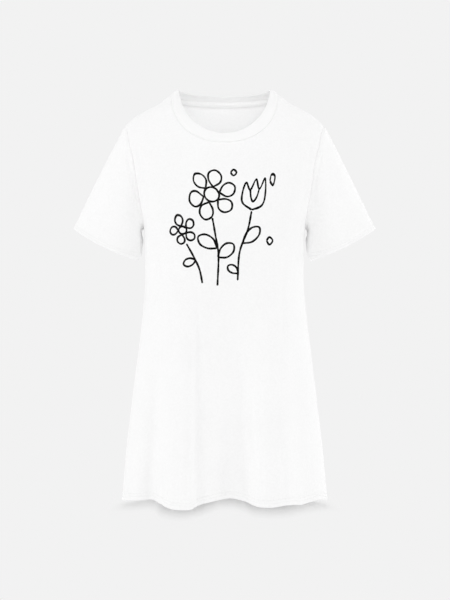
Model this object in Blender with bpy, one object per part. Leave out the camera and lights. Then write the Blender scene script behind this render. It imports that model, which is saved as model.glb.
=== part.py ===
"""T-shirt dress in cotton jersey, filled out as if it were worn, with nobody inside.

Six cut pieces, each a thin closed wall: front_panel, back_panel, sleeve_left, sleeve_right, neckband and
neck_tape, which covers the seam of the neckband inside the back of the neck.
Sizes in the tables are millimetres. The front faces -Y, +Z is up, and the origin lies between the two
points where the shoulder seams meet the neckband, which is where a wearer's shoulders carry the dress.

Every piece is a grid of points on one common surface, and neighbours share the points of their seam.
The wall is that grid moved half its thickness out and half in, and it stops short of the seam by half
of the seam's gap.
"""
import bpy
import numpy as np

MM = 0.001
LEFT, RIGHT = -1, 1
FRONT, BACK = -1, 1

SEAM_GAP = 0.3
JERSEY_WALL = 1.5
HEM_WALL = 2.2
RIB_WALL = 2.4
TAPE_WALL = 1.0
HEM_HEIGHT = 16.0
HEM_STEP = 1.5
MITRE_LIMIT = 0.6
SHARP_ANGLE = np.radians(40)

JERSEY_COLOUR = (0.93, 0.93, 0.93)
RIB_COLOUR = (0.94, 0.94, 0.94)
COTTON_ROUGHNESS = 0.85

FRONT_COLUMNS = 32
BACK_COLUMNS = 28
SKIRT_ROWS = 18
ARMHOLE_ROWS = 10
SHOULDER_ROWS = 6
SLEEVE_ROWS = 10

UNDERARM_HEIGHT = -284.0
SHOULDER_POINT_HEIGHT = -70.0
NECK_POINT_HEIGHT = -4.0
HEM_HEIGHT_AT_SIDE = -845.0
HEM_RISE_FRONT = 16.0
HEM_RISE_BACK = -5.0
HEM_DROP_PER_FOLD = 0.30
HEM_RISE_FADE = 4
FOLD_FADE = 6

ARMHOLE_REACH = {FRONT: 55.0, BACK: 52.0}
ARMHOLE_SQUEEZE = 0.16
ARMHOLE_EVEN_ROWS = 0.35
EDGE_BLEND = (0.10, 0.85)
EDGE_EASING_PASSES = 3
SHOULDER_LIFT = 9.0
SHOULDER_LIFT_ROWS = 1.5

NECK_SEAM_HALF_WIDTH = 110.0
NECK_SEAM_DROP = {FRONT: 109.5, BACK: 10.0}
NECK_SEAM_ROUNDNESS = {FRONT: 2.2, BACK: 2.6}
NECK_SEAM_HALVINGS = 40
BAND_EDGE_HALF_WIDTH = 95.0
BAND_EDGE_DEPTH = {FRONT: 85.0, BACK: 74.0}
BAND_EDGE_HEIGHT = 7.0
BAND_EDGE_DROP = {FRONT: 101.5, BACK: 3.0}
BAND_TURN = 0.08
BAND_CROWN = 1.2
BAND_ROWS = (0.0, 0.3, 0.65, 0.93, 1.0)
TAPE_ROWS = (-5.5, -2.0, 0.0, 2.0, 5.5)
TAPE_CLEARANCE = 0.3
TAPE_END_GAP = 2.0

SLEEVE_HEM_CENTRE = (247.5, -3.0, -316.0)
SLEEVE_HEM_HALF_WIDTH = 74.0
SLEEVE_HEM_HALF_DEPTH = 44.0
SLEEVE_LEAN = np.radians(26.9)
SLEEVE_HEM_BOW = 6.0


def table(names, *rows):
    """A short table, kept as one array of numbers for each named column."""
    return dict(zip(names.split(), np.array(rows, float).T))


# The body's horizontal sections. Roundness is the exponent of the section's curve: 2 is an ellipse,
# and more is fuller at the corners. Above the underarm the half width runs out past the armhole.
BODY = table(
    "height half_width front_depth back_depth front_roundness back_roundness",
    (-852, 213.0, 147, 143, 2.15, 2.10),
    (-738, 203.0, 136, 130, 2.20, 2.15),
    (-639, 191.0, 127, 117, 2.30, 2.20),
    (-539, 178.5, 121, 106, 2.40, 2.30),
    (-451, 168.5, 118, 99, 2.50, 2.35),
    (-380, 163.5, 118, 97, 2.55, 2.40),
    (-306, 164.5, 122, 101, 2.55, 2.40),
    (-276, 167.0, 124, 104, 2.50, 2.40),
    (-246, 175.5, 123, 106, 2.45, 2.40),
    (-206, 188.5, 118, 107, 2.40, 2.35),
    (-175, 198.0, 111, 106, 2.35, 2.30),
    (-142, 208.0, 102, 103, 2.25, 2.20),
    (-108, 216.0, 92, 99, 2.10, 2.10),
    (-85, 213.0, 82, 94, 2.00, 2.00),
    (-70, 206.0, 77, 91, 1.95, 1.95),
    (-60, 196.0, 73, 88, 1.90, 1.90),
    (-48, 181.0, 68, 85, 1.90, 1.90),
    (-34, 155.5, 64, 81, 1.90, 1.90),
    (-22, 132.5, 60, 78, 1.90, 1.90),
    (-12, 121.5, 57, 75, 1.90, 1.90),
    (-4, 110.0, 54, 72, 1.90, 1.90),
)

# Folds that hang from the bust and the shoulder blades and open towards the hem. Top and hem place
# are distances from the middle, reach is half the fold's width at the hem, and out is how far it
# stands out there, negative for a hollow. Growth over 1 keeps a fold shallow until it nears the hem.
FRONT_FOLDS = table(
    "top_height top_place hem_place top_reach hem_reach out growth",
    (-235, -103, -86, 34, 46, 35, 1.35),
    (-235, 96, 89, 34, 56, 27, 1.35),
    (-330, -58, -52, 15, 17, -7, 0.90),
    (-350, 6, 6, 38, 45, -28, 1.20),
    (-400, -128, -143, 22, 27, -22, 1.20),
    (-430, -150, -181, 20, 26, 9, 1.20),
    (-420, 140, 158, 26, 34, -8, 1.20),
)
BACK_FOLDS = table(
    "top_height top_place hem_place top_reach hem_reach out growth",
    (-230, -92, -112, 36, 46, 24, 1.35),
    (-230, 88, 78, 36, 46, 28, 1.35),
    (-330, -30, -48, 34, 44, -20, 1.20),
    (-360, 26, 20, 26, 34, 12, 1.20),
    (-420, 128, 140, 24, 32, -18, 1.20),
    (-420, -140, -168, 24, 30, -10, 1.20),
)

# How the sleeve leaves the armhole, from the underarm (0) over the front or back (0.5) to the
# shoulder (1): its direction out, forward and up, how far it keeps to that direction, and the share
# of its length over which it then turns into line with the hem.
SLEEVE_HEAD = table(
    "round out forward up run arrival",
    (0.00, 0.90, 0.00, 0.44, 44, 1.40),
    (0.12, 0.92, 0.20, 0.30, 50, 1.10),
    (0.50, 0.95, 0.30, -0.08, 88, 0.55),
    (0.85, 0.76, 0.12, -0.62, 84, 0.55),
    (1.00, 0.52, 0.00, -0.85, 72, 0.55),
)

DEPTH = {FRONT: "front_depth", BACK: "back_depth"}
ROUNDNESS = {FRONT: "front_roundness", BACK: "back_roundness"}
FOLDS = {FRONT: FRONT_FOLDS, BACK: BACK_FOLDS}


def smooth(columns, name, at):
    """A smooth curve through one column of a table, read against its first column, with no overshoot."""
    key = next(iter(columns.values()))
    value = columns[name]
    gap = np.diff(key)
    slope = np.diff(value) / gap
    lean = np.zeros(len(key))
    together = slope[1:] * slope[:-1] > 0
    both = np.where(together, slope[1:] + slope[:-1], 1.0)
    lean[1:-1] = np.where(together, 2 * slope[1:] * slope[:-1] / both, 0.0)
    lean[0], lean[-1] = slope[0], slope[-1]
    at = np.clip(at, key[0], key[-1])
    i = np.clip(np.searchsorted(key, at) - 1, 0, len(gap) - 1)
    t = (at - key[i]) / gap[i]
    return (
        value[i] * (1 + 2 * t) * (1 - t) ** 2
        + value[i + 1] * t**2 * (3 - 2 * t)
        + gap[i] * lean[i] * t * (1 - t) ** 2
        - gap[i] * lean[i + 1] * t**2 * (1 - t)
    )


def power(value, exponent):
    """A power that keeps the value's sign."""
    return np.sign(value) * np.abs(value) ** exponent


def ease(t):
    """From 0 to 1 with no corner at either end."""
    t = np.clip(t, 0.0, 1.0)
    return t * t * (3 - 2 * t)


def fold_height(side, x, z):
    """How far the hanging folds push the cloth out at a place on the front or the back."""
    folds = FOLDS[side]
    out = np.zeros_like(x)
    for top, top_x, hem_x, top_reach, hem_reach, height, growth in zip(*folds.values()):
        down = np.clip((top - z) / (top - HEM_HEIGHT_AT_SIDE), 0.0, 1.0)
        centre = top_x + (hem_x - top_x) * down
        reach = top_reach + (hem_reach - top_reach) * down
        out = out + height * down**growth * np.exp(-(((x - centre) / reach) ** 2))
    return out


def body_point(side, angle, z):
    """The body's surface at an angle round from the middle of the front or the back, at a height."""
    half_width = smooth(BODY, "half_width", z)
    depth = smooth(BODY, DEPTH[side], z)
    roundness = smooth(BODY, ROUNDNESS[side], z)
    x = half_width * power(np.sin(angle), 2 / roundness)
    y = side * depth * power(np.cos(angle), 2 / roundness)
    across = power(np.sin(angle), 2 - 2 / roundness) / half_width
    outward = side * power(np.cos(angle), 2 - 2 / roundness) / depth
    length = np.hypot(across, outward)
    fold = fold_height(side, x, z) * (1 - np.abs(np.sin(angle)) ** FOLD_FADE)
    return np.stack([x + fold * across / length, y + fold * outward / length, z], axis=-1)


def armhole_angle(side, z):
    """The angle at which the armhole seam crosses the body's surface. Seen from the side the seam is
    an ellipse from the underarm to the shoulder point."""
    middle = (SHOULDER_POINT_HEIGHT + UNDERARM_HEIGHT) / 2
    from_middle = (z - middle) / (SHOULDER_POINT_HEIGHT - middle)
    reach = ARMHOLE_REACH[side] * np.sqrt(np.clip(1 - from_middle**2, 0.0, 1.0))
    share = reach / smooth(BODY, DEPTH[side], z)
    return np.arccos(share ** (smooth(BODY, ROUNDNESS[side], z) / 2))


def neck_seam_height(side, angle):
    """The height at which the neck seam crosses the body's surface, found by halving the interval."""
    drop = NECK_SEAM_DROP[side]
    low = np.full_like(angle, NECK_POINT_HEIGHT - drop)
    high = np.full_like(angle, NECK_POINT_HEIGHT)
    for _ in range(NECK_SEAM_HALVINGS):
        z = (low + high) / 2
        fall = (NECK_POINT_HEIGHT - z) / drop
        roundness = NECK_SEAM_ROUNDNESS[side]
        opening = NECK_SEAM_HALF_WIDTH * np.clip(1 - fall**roundness, 0.0, 1.0) ** (1 / roundness)
        reach = smooth(BODY, "half_width", z) * np.sin(angle) ** (2 / smooth(BODY, ROUNDNESS[side], z))
        low, high = np.where(reach > opening, z, low), np.where(reach > opening, high, z)
    return (low + high) / 2


def hem_height(side, x):
    """The bottom edge: level at the sides, raised over the bust, and lower where a fold stands out."""
    rise = HEM_RISE_FRONT if side == FRONT else HEM_RISE_BACK
    share = np.clip(np.abs(x) / smooth(BODY, "half_width", HEM_HEIGHT_AT_SIDE), 0.0, 1.0)
    fold = fold_height(side, x, np.full_like(x, HEM_HEIGHT_AT_SIDE)) * (1 - share**FOLD_FADE)
    return HEM_HEIGHT_AT_SIDE + rise * (1 - share**HEM_RISE_FADE) - HEM_DROP_PER_FOLD * fold


def edge_rows():
    """Heights of the rows up a panel's edge, above the underarm: the armhole, then the shoulder seam."""
    step = np.linspace(0.0, 1.0, ARMHOLE_ROWS + 1)
    crowded = (1 - np.cos(np.pi * step)) / 2
    step = crowded + ARMHOLE_EVEN_ROWS * (step - crowded)
    armhole = UNDERARM_HEIGHT + (SHOULDER_POINT_HEIGHT - UNDERARM_HEIGHT) * step
    shoulder = np.linspace(SHOULDER_POINT_HEIGHT, NECK_POINT_HEIGHT, SHOULDER_ROWS + 1)
    return np.concatenate([armhole[1:], shoulder[1:]])


def skirt_rows():
    """Places of the rows from the hem (0) to the underarm (1), with a pair where the hem's fold ends."""
    length = UNDERARM_HEIGHT - HEM_HEIGHT_AT_SIDE
    hem_top = HEM_HEIGHT / length
    above = np.linspace((HEM_HEIGHT + HEM_STEP) / length, 1.0, SKIRT_ROWS + 1)
    return np.concatenate([[0.0, hem_top], above])


def panel_grid(side, columns):
    """The points of the front or back panel, row by row from hem to neck, left to right."""
    across = np.linspace(-1.0, 1.0, columns + 1)
    quarter = np.pi / 2
    hem_x = smooth(BODY, "half_width", HEM_HEIGHT_AT_SIDE) * np.sin(across * quarter)
    bottom = hem_height(side, hem_x)
    rows = []
    for share in skirt_rows():
        z = bottom + (UNDERARM_HEIGHT - bottom) * share
        rows.append(body_point(side, across * quarter, z))
    top = neck_seam_height(side, np.abs(across) * quarter)
    edge_weight = ease((np.abs(across) - EDGE_BLEND[0]) / (EDGE_BLEND[1] - EDGE_BLEND[0]))
    heights = edge_rows()
    edge_angles = [armhole_angle(side, z) if z < SHOULDER_POINT_HEIGHT else quarter for z in heights]
    near_angles = held_back(np.array([quarter] + edge_angles))[1:]
    for step, (height, edge, near) in enumerate(zip(heights, edge_angles, near_angles), start=1):
        middle_share = step / len(heights)
        edge_share = (height - UNDERARM_HEIGHT) / (NECK_POINT_HEIGHT - UNDERARM_HEIGHT)
        share = middle_share + (edge_share - middle_share) * edge_weight
        z = UNDERARM_HEIGHT + (top - UNDERARM_HEIGHT) * share
        lift = SHOULDER_LIFT * np.exp(-(((step - ARMHOLE_ROWS) / SHOULDER_LIFT_ROWS) ** 2))
        z += lift * 4 * across**2 * (1 - across**2)
        middle = quarter * (1 - ARMHOLE_SQUEEZE * np.sin(np.pi * middle_share))
        angle = across * (middle + (near - middle) * edge_weight)
        angle[0], angle[-1] = -edge, edge
        rows.append(body_point(side, angle, z))
    return np.array(rows)


def held_back(angles):
    """The armhole's angles row by row, eased so that they turn the shoulder's corner over a few rows."""
    eased = angles.copy()
    for _ in range(EDGE_EASING_PASSES):
        eased[1:-1] = np.minimum(angles[1:-1], (eased[:-2] + 2 * eased[1:-1] + eased[2:]) / 4)
    return eased


def sleeve_grid(hand, front, back):
    """The points of a sleeve, row by row from the armhole to its hem, round from the underarm over
    the front to the shoulder and down the back."""
    first = len(skirt_rows()) - 1
    last = first + ARMHOLE_ROWS
    edge = 0 if hand == LEFT else -1
    up_front = front[first : last + 1, edge]
    up_back = back[first : last + 1, edge]
    head = np.concatenate([up_front, up_back[-2:0:-1]])
    round_front = arc_share(up_front)
    round_back = arc_share(up_back)[-2:0:-1]
    share = np.concatenate([round_front, round_back])
    side = np.concatenate([np.full(len(round_front), FRONT), np.full(len(round_back), BACK)])
    angle = share * np.pi

    axis = np.array([hand * np.sin(SLEEVE_LEAN), 0.0, -np.cos(SLEEVE_LEAN)])
    upper = np.array([hand * np.cos(SLEEVE_LEAN), 0.0, np.sin(SLEEVE_LEAN)])
    centre = np.array(SLEEVE_HEM_CENTRE) * (hand, 1, 1)
    hem = centre - np.outer(np.cos(angle), upper) * SLEEVE_HEM_HALF_WIDTH
    hem[:, 1] += side * np.sin(angle) * SLEEVE_HEM_HALF_DEPTH
    hem += np.outer(SLEEVE_HEM_BOW * np.sin(angle) ** 2, axis)

    leave = np.stack(
        [
            hand * smooth(SLEEVE_HEAD, "out", share),
            side * smooth(SLEEVE_HEAD, "forward", share),
            smooth(SLEEVE_HEAD, "up", share),
        ],
        axis=-1,
    )
    leave *= smooth(SLEEVE_HEAD, "run", share)[:, None]
    length = np.linalg.norm(hem - head, axis=1)
    arrive = np.outer(smooth(SLEEVE_HEAD, "arrival", share) * length, axis)
    rows = []
    for step in np.linspace(0.0, 1.0, SLEEVE_ROWS + 1):
        rows.append(sleeve_ring(head, hem, leave, arrive, step * (1 - HEM_HEIGHT / length)))
    rows.append(sleeve_ring(head, hem, leave, arrive, 1 - (HEM_HEIGHT - HEM_STEP) / length))
    rows.append(hem)
    return np.array(rows)


def sleeve_ring(head, hem, leave, arrive, t):
    """One ring of the sleeve, on curves that leave the armhole one way and reach the hem another."""
    t = t[:, None]
    return (
        head * (1 + 2 * t) * (1 - t) ** 2
        + hem * t**2 * (3 - 2 * t)
        + leave * t * (1 - t) ** 2
        - arrive * t**2 * (1 - t)
    )


def arc_share(points):
    """Each point's share of the way along a line of points."""
    steps = np.linalg.norm(np.diff(points, axis=0), axis=1)
    return np.concatenate([[0.0], np.cumsum(steps)]) / steps.sum()


def band_grid(front, back):
    """The points of the neckband, row by row from the neck seam to its folded edge, round from the
    viewer's left shoulder over the front and back along the back."""
    seam = np.concatenate([front[-1], back[-1][-2:0:-1]])
    side = np.concatenate([np.full(len(front[-1]), FRONT), np.full(len(back[-1]) - 2, BACK)])
    seam_depth = np.where(side == FRONT, np.abs(front[-1][:, 1]).max(), np.abs(back[-1][:, 1]).max())
    by_width = np.arcsin(np.clip(np.abs(seam[:, 0]) / NECK_SEAM_HALF_WIDTH, 0.0, 1.0))
    by_depth = np.arccos(np.clip(np.abs(seam[:, 1]) / seam_depth, 0.0, 1.0))
    angle = (by_width + by_depth) / 2
    across = np.sign(seam[:, 0]) * np.sin(angle)
    inward = np.cos(angle)
    fall = (np.hypot(inward, BAND_TURN) - BAND_TURN) / (np.hypot(1.0, BAND_TURN) - BAND_TURN)
    depth = np.where(side == FRONT, BAND_EDGE_DEPTH[FRONT], BAND_EDGE_DEPTH[BACK])
    drop = np.where(side == FRONT, BAND_EDGE_DROP[FRONT], BAND_EDGE_DROP[BACK])
    edge = np.stack(
        [BAND_EDGE_HALF_WIDTH * across, side * depth * inward, BAND_EDGE_HEIGHT - drop * fall], axis=-1
    )
    chord = edge - seam
    round_way = np.roll(seam, -1, axis=0) - np.roll(seam, 1, axis=0)
    outward = np.cross(round_way, chord)
    outward /= np.linalg.norm(outward, axis=1)[:, None]
    rows = []
    for share in BAND_ROWS:
        crown = BAND_CROWN * 4 * share * (1 - share)
        rows.append(seam + chord * share + outward * crown)
    return np.array(rows)


def tape_grid(back, band):
    """The points of the tape on its own middle surface, row by row from the panel up over the neck seam
    and onto the band. It lies inside both, and its ends stop short of the shoulder seams."""
    seam = back[-1]
    ring = [len(band[0]) - i for i in range(1, len(seam) - 1)]
    above = band[1, [0] + ring + [len(seam) - 1]]
    along = np.gradient(seam, axis=0)
    along /= np.linalg.norm(along, axis=1)[:, None]
    ways = []
    for neighbour in (back[-2], above):
        way = neighbour - seam
        way -= along * (way * along).sum(axis=1)[:, None]
        ways.append(way / np.linalg.norm(way, axis=1)[:, None])
    down, up = ways
    inward = np.stack([np.cross(along, -down), np.cross(along, up)])
    inside = RIB_WALL / 2 + TAPE_CLEARANCE + TAPE_WALL / 2
    turn = inward.sum(axis=0)
    turn *= (2 * inside / (turn**2).sum(axis=1))[:, None]
    rows = []
    for height in TAPE_ROWS:
        way, face = (up, inward[1]) if height > 0 else (down, inward[0])
        offset = turn if height == 0 else face * inside
        rows.append(seam + way * abs(height) + offset)
    rows = np.array(rows)
    for end, inner in ((0, 1), (-1, -2)):
        step = rows[:, inner] - rows[:, end]
        rows[:, end] += step / np.linalg.norm(step, axis=1)[:, None] * TAPE_END_GAP
    return rows


class Piece:
    """One cut piece: its grid of points, whether the grid closes on itself, and its wall by row."""

    def __init__(self, name, grid, closed, wall, seams):
        self.name = name
        self.grid = grid
        self.closed = closed
        self.wall = wall
        self.seams = seams

    def quads(self):
        """The grid's faces as pairs of row and column, wound to face out."""
        rows, columns = self.grid.shape[:2]
        last = columns if self.closed else columns - 1
        for i in range(rows - 1):
            for j in range(last):
                k = (j + 1) % columns
                yield (i, j), (i, k), (i + 1, k), (i + 1, j)


def key(point):
    """A point's name, the same for every piece that shares it."""
    return tuple(np.round(point, 3))


def shared_normals(pieces):
    """The direction out of the cloth at each point, shared by the pieces that meet there."""
    total = {}
    for piece in pieces:
        for corners in piece.quads():
            a, b, c, d = (piece.grid[corner] for corner in corners)
            normal = np.cross(c - a, d - b)
            for corner in (a, b, c, d):
                total[key(corner)] = total.get(key(corner), np.zeros(3)) + normal
    return {name: normal / np.linalg.norm(normal) for name, normal in total.items()}


def own_normals(piece):
    """The direction out of one piece alone at each of its points."""
    total = np.zeros_like(piece.grid)
    for corners in piece.quads():
        a, b, c, d = (piece.grid[corner] for corner in corners)
        normal = np.cross(c - a, d - b)
        for corner in corners:
            total[corner] += normal
    return total / np.linalg.norm(total, axis=2)[:, :, None]


def drawn_back(piece):
    """The piece's points with its seam edges drawn back, square to the seam, by half of its gap."""
    grid = piece.grid.copy()
    for edge in piece.seams:
        line, inner = {
            "first_row": ((0, slice(None)), (1, slice(None))),
            "last_row": ((-1, slice(None)), (-2, slice(None))),
            "first_column": ((slice(None), 0), (slice(None), 1)),
            "last_column": ((slice(None), -1), (slice(None), -2)),
        }[edge]
        seam = piece.grid[line]
        if piece.closed:
            along = np.roll(seam, -1, axis=0) - np.roll(seam, 1, axis=0)
        else:
            along = np.gradient(seam, axis=0)
        along /= np.linalg.norm(along, axis=1)[:, None]
        step = piece.grid[inner] - seam
        step -= along * (step * along).sum(axis=1)[:, None]
        grid[line] += step / np.linalg.norm(step, axis=1)[:, None] * (SEAM_GAP / 2)
    return grid


def wall_mesh(piece, normals):
    """The piece's closed wall: its grid moved out and in, joined round its edges. Two pieces split the
    faces of a seam they share along the same diagonals."""
    grid = drawn_back(piece)
    rows, columns = grid.shape[:2]
    out = np.array([[normals[key(point)] for point in row] for row in piece.grid])
    lean = np.clip((out * own_normals(piece)).sum(axis=2), MITRE_LIMIT, 1.0)
    half = np.array(piece.wall)[:, None] / 2 / lean
    outer = grid + out * half[:, :, None]
    inner = grid - out * half[:, :, None]
    points = np.concatenate([outer.reshape(-1, 3), inner.reshape(-1, 3)]) * MM
    under = rows * columns

    def number(corner):
        return corner[0] * columns + corner[1]

    faces = []
    for corners in piece.quads():
        a, b, c, d = (number(corner) for corner in corners)
        if np.linalg.norm(points[a] - points[c]) <= np.linalg.norm(points[b] - points[d]):
            triangles = [(a, b, c), (a, c, d)]
        else:
            triangles = [(a, b, d), (b, c, d)]
        for p, q, r in triangles:
            faces.append((p, q, r))
            faces.append((r + under, q + under, p + under))
    for line in edge_lines(piece, rows, columns):
        for p, q in zip(line[:-1], line[1:]):
            a, b = number(p), number(q)
            if key(piece.grid[p]) < key(piece.grid[q]):
                faces += [(b, a, b + under), (a, a + under, b + under)]
            else:
                faces += [(b, a, a + under), (b, a + under, b + under)]
    return points, faces


def edge_lines(piece, rows, columns):
    """The grid's edges, each walked so that its faces follow it on the left."""
    wrap = [0] if piece.closed else []
    bottom = [(0, j) for j in list(range(columns)) + wrap]
    top = [(rows - 1, j) for j in list(range(columns)) + wrap][::-1]
    if piece.closed:
        return [bottom, top]
    left = [(i, 0) for i in range(rows)][::-1]
    right = [(i, columns - 1) for i in range(rows)]
    return [bottom, right, top, left]


def cloth_material(name, colour):
    """White cotton, matt and a little fuzzy."""
    material = bpy.data.materials.new(name)
    material.use_nodes = True
    surface = material.node_tree.nodes["Principled BSDF"]
    surface.inputs["Base Color"].default_value = (*colour, 1.0)
    surface.inputs["Roughness"].default_value = COTTON_ROUGHNESS
    surface.inputs["Metallic"].default_value = 0.0
    return material


def add_piece(piece, normals, material):
    """One solid in the scene for one cut piece."""
    points, faces = wall_mesh(piece, normals)
    mesh = bpy.data.meshes.new(piece.name)
    mesh.from_pydata([tuple(point) for point in points], [], faces)
    mesh.shade_smooth()
    mesh.set_sharp_from_angle(angle=SHARP_ANGLE)
    mesh.materials.append(material)
    bpy.context.scene.collection.objects.link(bpy.data.objects.new(piece.name, mesh))


def panel_walls(grid):
    """Wall thickness by row of a panel: the turned-up hem is double, the rest single."""
    return [HEM_WALL, HEM_WALL] + [JERSEY_WALL] * (len(grid) - 2)


def main():
    for thing in list(bpy.data.objects):
        bpy.data.objects.remove(thing, do_unlink=True)

    front = panel_grid(FRONT, FRONT_COLUMNS)
    back = panel_grid(BACK, BACK_COLUMNS)
    sleeves = {hand: sleeve_grid(hand, front, back) for hand in (LEFT, RIGHT)}
    band = band_grid(front, back)
    tape = tape_grid(back, band)[:, ::-1]
    sleeve_walls = [JERSEY_WALL] * (SLEEVE_ROWS + 1) + [HEM_WALL, HEM_WALL]
    band_walls = [RIB_WALL] * (len(BAND_ROWS) - 1) + [RIB_WALL / 2]
    panel_seams = ("first_column", "last_column", "last_row")
    jersey = cloth_material("white_cotton_jersey", JERSEY_COLOUR)
    rib = cloth_material("white_cotton_rib", RIB_COLOUR)
    pieces = [
        (Piece("front_panel", front, False, panel_walls(front), panel_seams), jersey),
        (Piece("back_panel", back[:, ::-1], False, panel_walls(back), panel_seams), jersey),
        (Piece("sleeve_left", sleeves[LEFT], True, sleeve_walls, ("first_row",)), jersey),
        (Piece("sleeve_right", sleeves[RIGHT][:, ::-1], True, sleeve_walls, ("first_row",)), jersey),
        (Piece("neckband", band, True, band_walls, ("first_row",)), rib),
        (Piece("neck_tape", tape, False, [TAPE_WALL] * len(TAPE_ROWS), ()), jersey),
    ]
    normals = shared_normals([piece for piece, _ in pieces])
    for piece, material in pieces:
        add_piece(piece, normals, material)


main()
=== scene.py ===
"""T-shirt dress in white cotton jersey, hollow and filled out as if it were worn.

Lengths are millimetres, as a pattern cutter gives them, and turn to metres when a mesh is made. Only the
stitch sizes in the materials, the floor's place, the lamps and the camera are in metres. Each cut piece is
a grid of points on the surface that its CAD solid has, made finer, creased by the tables below and given
two faces, so that it is a thin wall like the real cloth.
"""

import bpy
import numpy as np
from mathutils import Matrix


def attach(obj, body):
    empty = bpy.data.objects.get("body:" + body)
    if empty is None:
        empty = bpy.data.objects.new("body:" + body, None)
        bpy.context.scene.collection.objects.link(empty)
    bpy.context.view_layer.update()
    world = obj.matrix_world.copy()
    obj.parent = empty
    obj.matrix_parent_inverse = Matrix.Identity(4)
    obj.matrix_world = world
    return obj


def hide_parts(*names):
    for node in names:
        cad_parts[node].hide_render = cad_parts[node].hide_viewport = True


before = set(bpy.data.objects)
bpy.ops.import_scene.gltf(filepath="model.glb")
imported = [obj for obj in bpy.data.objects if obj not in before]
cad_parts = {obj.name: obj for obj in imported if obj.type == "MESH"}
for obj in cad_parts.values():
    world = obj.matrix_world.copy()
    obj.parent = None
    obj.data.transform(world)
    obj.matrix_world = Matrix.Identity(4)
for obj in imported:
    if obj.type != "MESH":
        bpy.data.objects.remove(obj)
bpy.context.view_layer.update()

MM = 0.001
LEFT, RIGHT = -1, 1
FRONT, BACK = -1, 1
QUARTER = np.pi / 2
PANEL_NAMES = {FRONT: "front_cloth", BACK: "back_cloth"}
SLEEVE_NAMES = {LEFT: "sleeve_left_cloth", RIGHT: "sleeve_right_cloth"}
CUFF_STITCH_NAMES = {LEFT: "cuff_stitches_left", RIGHT: "cuff_stitches_right"}

# Walls of the cloth. Single jersey is about 0.7 mm thick and is given 1.0, two layers with their
# stitches 1.8, and the rib band, folded double, 2.2.
JERSEY_WALL = 1.0
HEM_WALL = 1.8
HEM_FOLD_HALF_WALL = 0.12
RIB_WALL = 2.2
RIB_FOLD_START = 0.1
TAPE_WALL = 0.8

# At a seam two pieces stand a little apart, pressed thin, in the bottom of a groove.
SEAM_GAP = 0.26
SEAM_DIP = 0.9
SEAM_DIP_REACH = 2.4
PRESSED_SHARE = 0.55
PRESSED_REACH = 1.6

# How finely each piece is divided into rows and columns, and the lines added close beside a seam.
FRONT_COLUMNS = 132
BACK_COLUMNS = 120
SKIRT_ROW_SPACING = 4.6
ROWS_PER_STEP = 5
SLEEVE_ROWS = 54
BAND_ROWS = 14
TAPE_ROWS = 10
NEAR_SEAM = (0.5, 1.0, 1.8)
NEAR_SEAM_SHARES = (0.2, 0.45, 0.7)
SHORTEST_STEP = 0.1

# A hem is turned up once and sewn with a twin needle, in two rows that pull shallow channels into it.
# HEM_ROWS are the heights over its folded edge at which its lines of points run.
HEM_HEIGHT = 16.0
HEM_STITCH_HEIGHTS = (8.0, 13.6)
HEM_ROWS = (0, 0.15, 0.4, 0.8, 1.4, 2.4, 4, 5.6, 6.7, 7.4, 8, 8.6, 9.4, 10.7, 12.1, 13, 13.6, 14.2,
            15, 15.8, 16.6, 18, 20)
HEM_STEP = 1.2
CHANNEL_DEPTH = 0.32
CHANNEL_REACH = 1.1
STITCH_PITCH = 3.0
STITCH_LENGTH = 2.45
STITCH_WIDTH = 0.62
STITCH_HEIGHT = 0.46
STITCH_LIFT = 0.06

# The edges of the front and the back, as the CAD has them: hem, armholes, shoulders and neck seam.
ARMHOLE_ROWS = 10
SHOULDER_ROWS = 6
UNDERARM_HEIGHT = -284.0
SHOULDER_POINT_HEIGHT = -70.0
NECK_POINT_HEIGHT = -4.0
HEM_HEIGHT_AT_SIDE = -845.0
HEM_RISE = {FRONT: 16.0, BACK: -5.0}
HEM_DROP_PER_FOLD = 0.30
HEM_RISE_FADE = 4
FOLD_FADE = 6
ARMHOLE_REACH = {FRONT: 55.0, BACK: 52.0}
ARMHOLE_SQUEEZE = 0.16
ARMHOLE_EVEN_ROWS = 0.35
EDGE_BLEND = (0.10, 0.85)
EDGE_CORNER = 0.86
EDGE_EASING_PASSES = 3
SHOULDER_LIFT = 9.0
SHOULDER_LIFT_ROWS = 1.5
NECK_SEAM_HALF_WIDTH = 110.0
NECK_SEAM_DROP = {FRONT: 109.5, BACK: 10.0}
NECK_SEAM_ROUNDNESS = {FRONT: 2.2, BACK: 2.6}
NECK_SEAM_HALVINGS = 40

# The folded edge of the neckband, and the tape that lies inside over the back neck seam.
BAND_EDGE_HALF_WIDTH = 95.0
BAND_EDGE_DEPTH = {FRONT: 85.0, BACK: 74.0}
BAND_EDGE_HEIGHT = 7.0
BAND_EDGE_DROP = {FRONT: 101.5, BACK: 3.0}
BAND_TURN = 0.08
BAND_CROWN = 1.2
TAPE_HALF_HEIGHT = 5.5
TAPE_BEND = 3.0
TAPE_CLEARANCE = 0.65
TAPE_LEAST_COSINE = 0.5

# A sleeve's hem is an ellipse across a leaning axis, bowed down at front and back. Girth and length are
# what the places of its creases are shares of. Its head stands a little fuller than the armhole, in a low
# roll that fades towards the underarm.
SLEEVE_HEM_CENTRE = (247.5, -3.0, -316.0)
SLEEVE_HEM_HALF_WIDTH = 74.0
SLEEVE_HEM_HALF_DEPTH = 44.0
SLEEVE_LEAN = np.radians(26.9)
SLEEVE_HEM_BOW = 6.0
SLEEVE_GIRTH = 360.0
SLEEVE_LENGTH = 190.0
ROLL_HEIGHT = 1.1
ROLL_PLACE = 9.0
ROLL_REACH = 7.0
ROLL_START = 6.0
ROLL_BEGINS, ROLL_FADE = 0.6, 0.3

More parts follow.
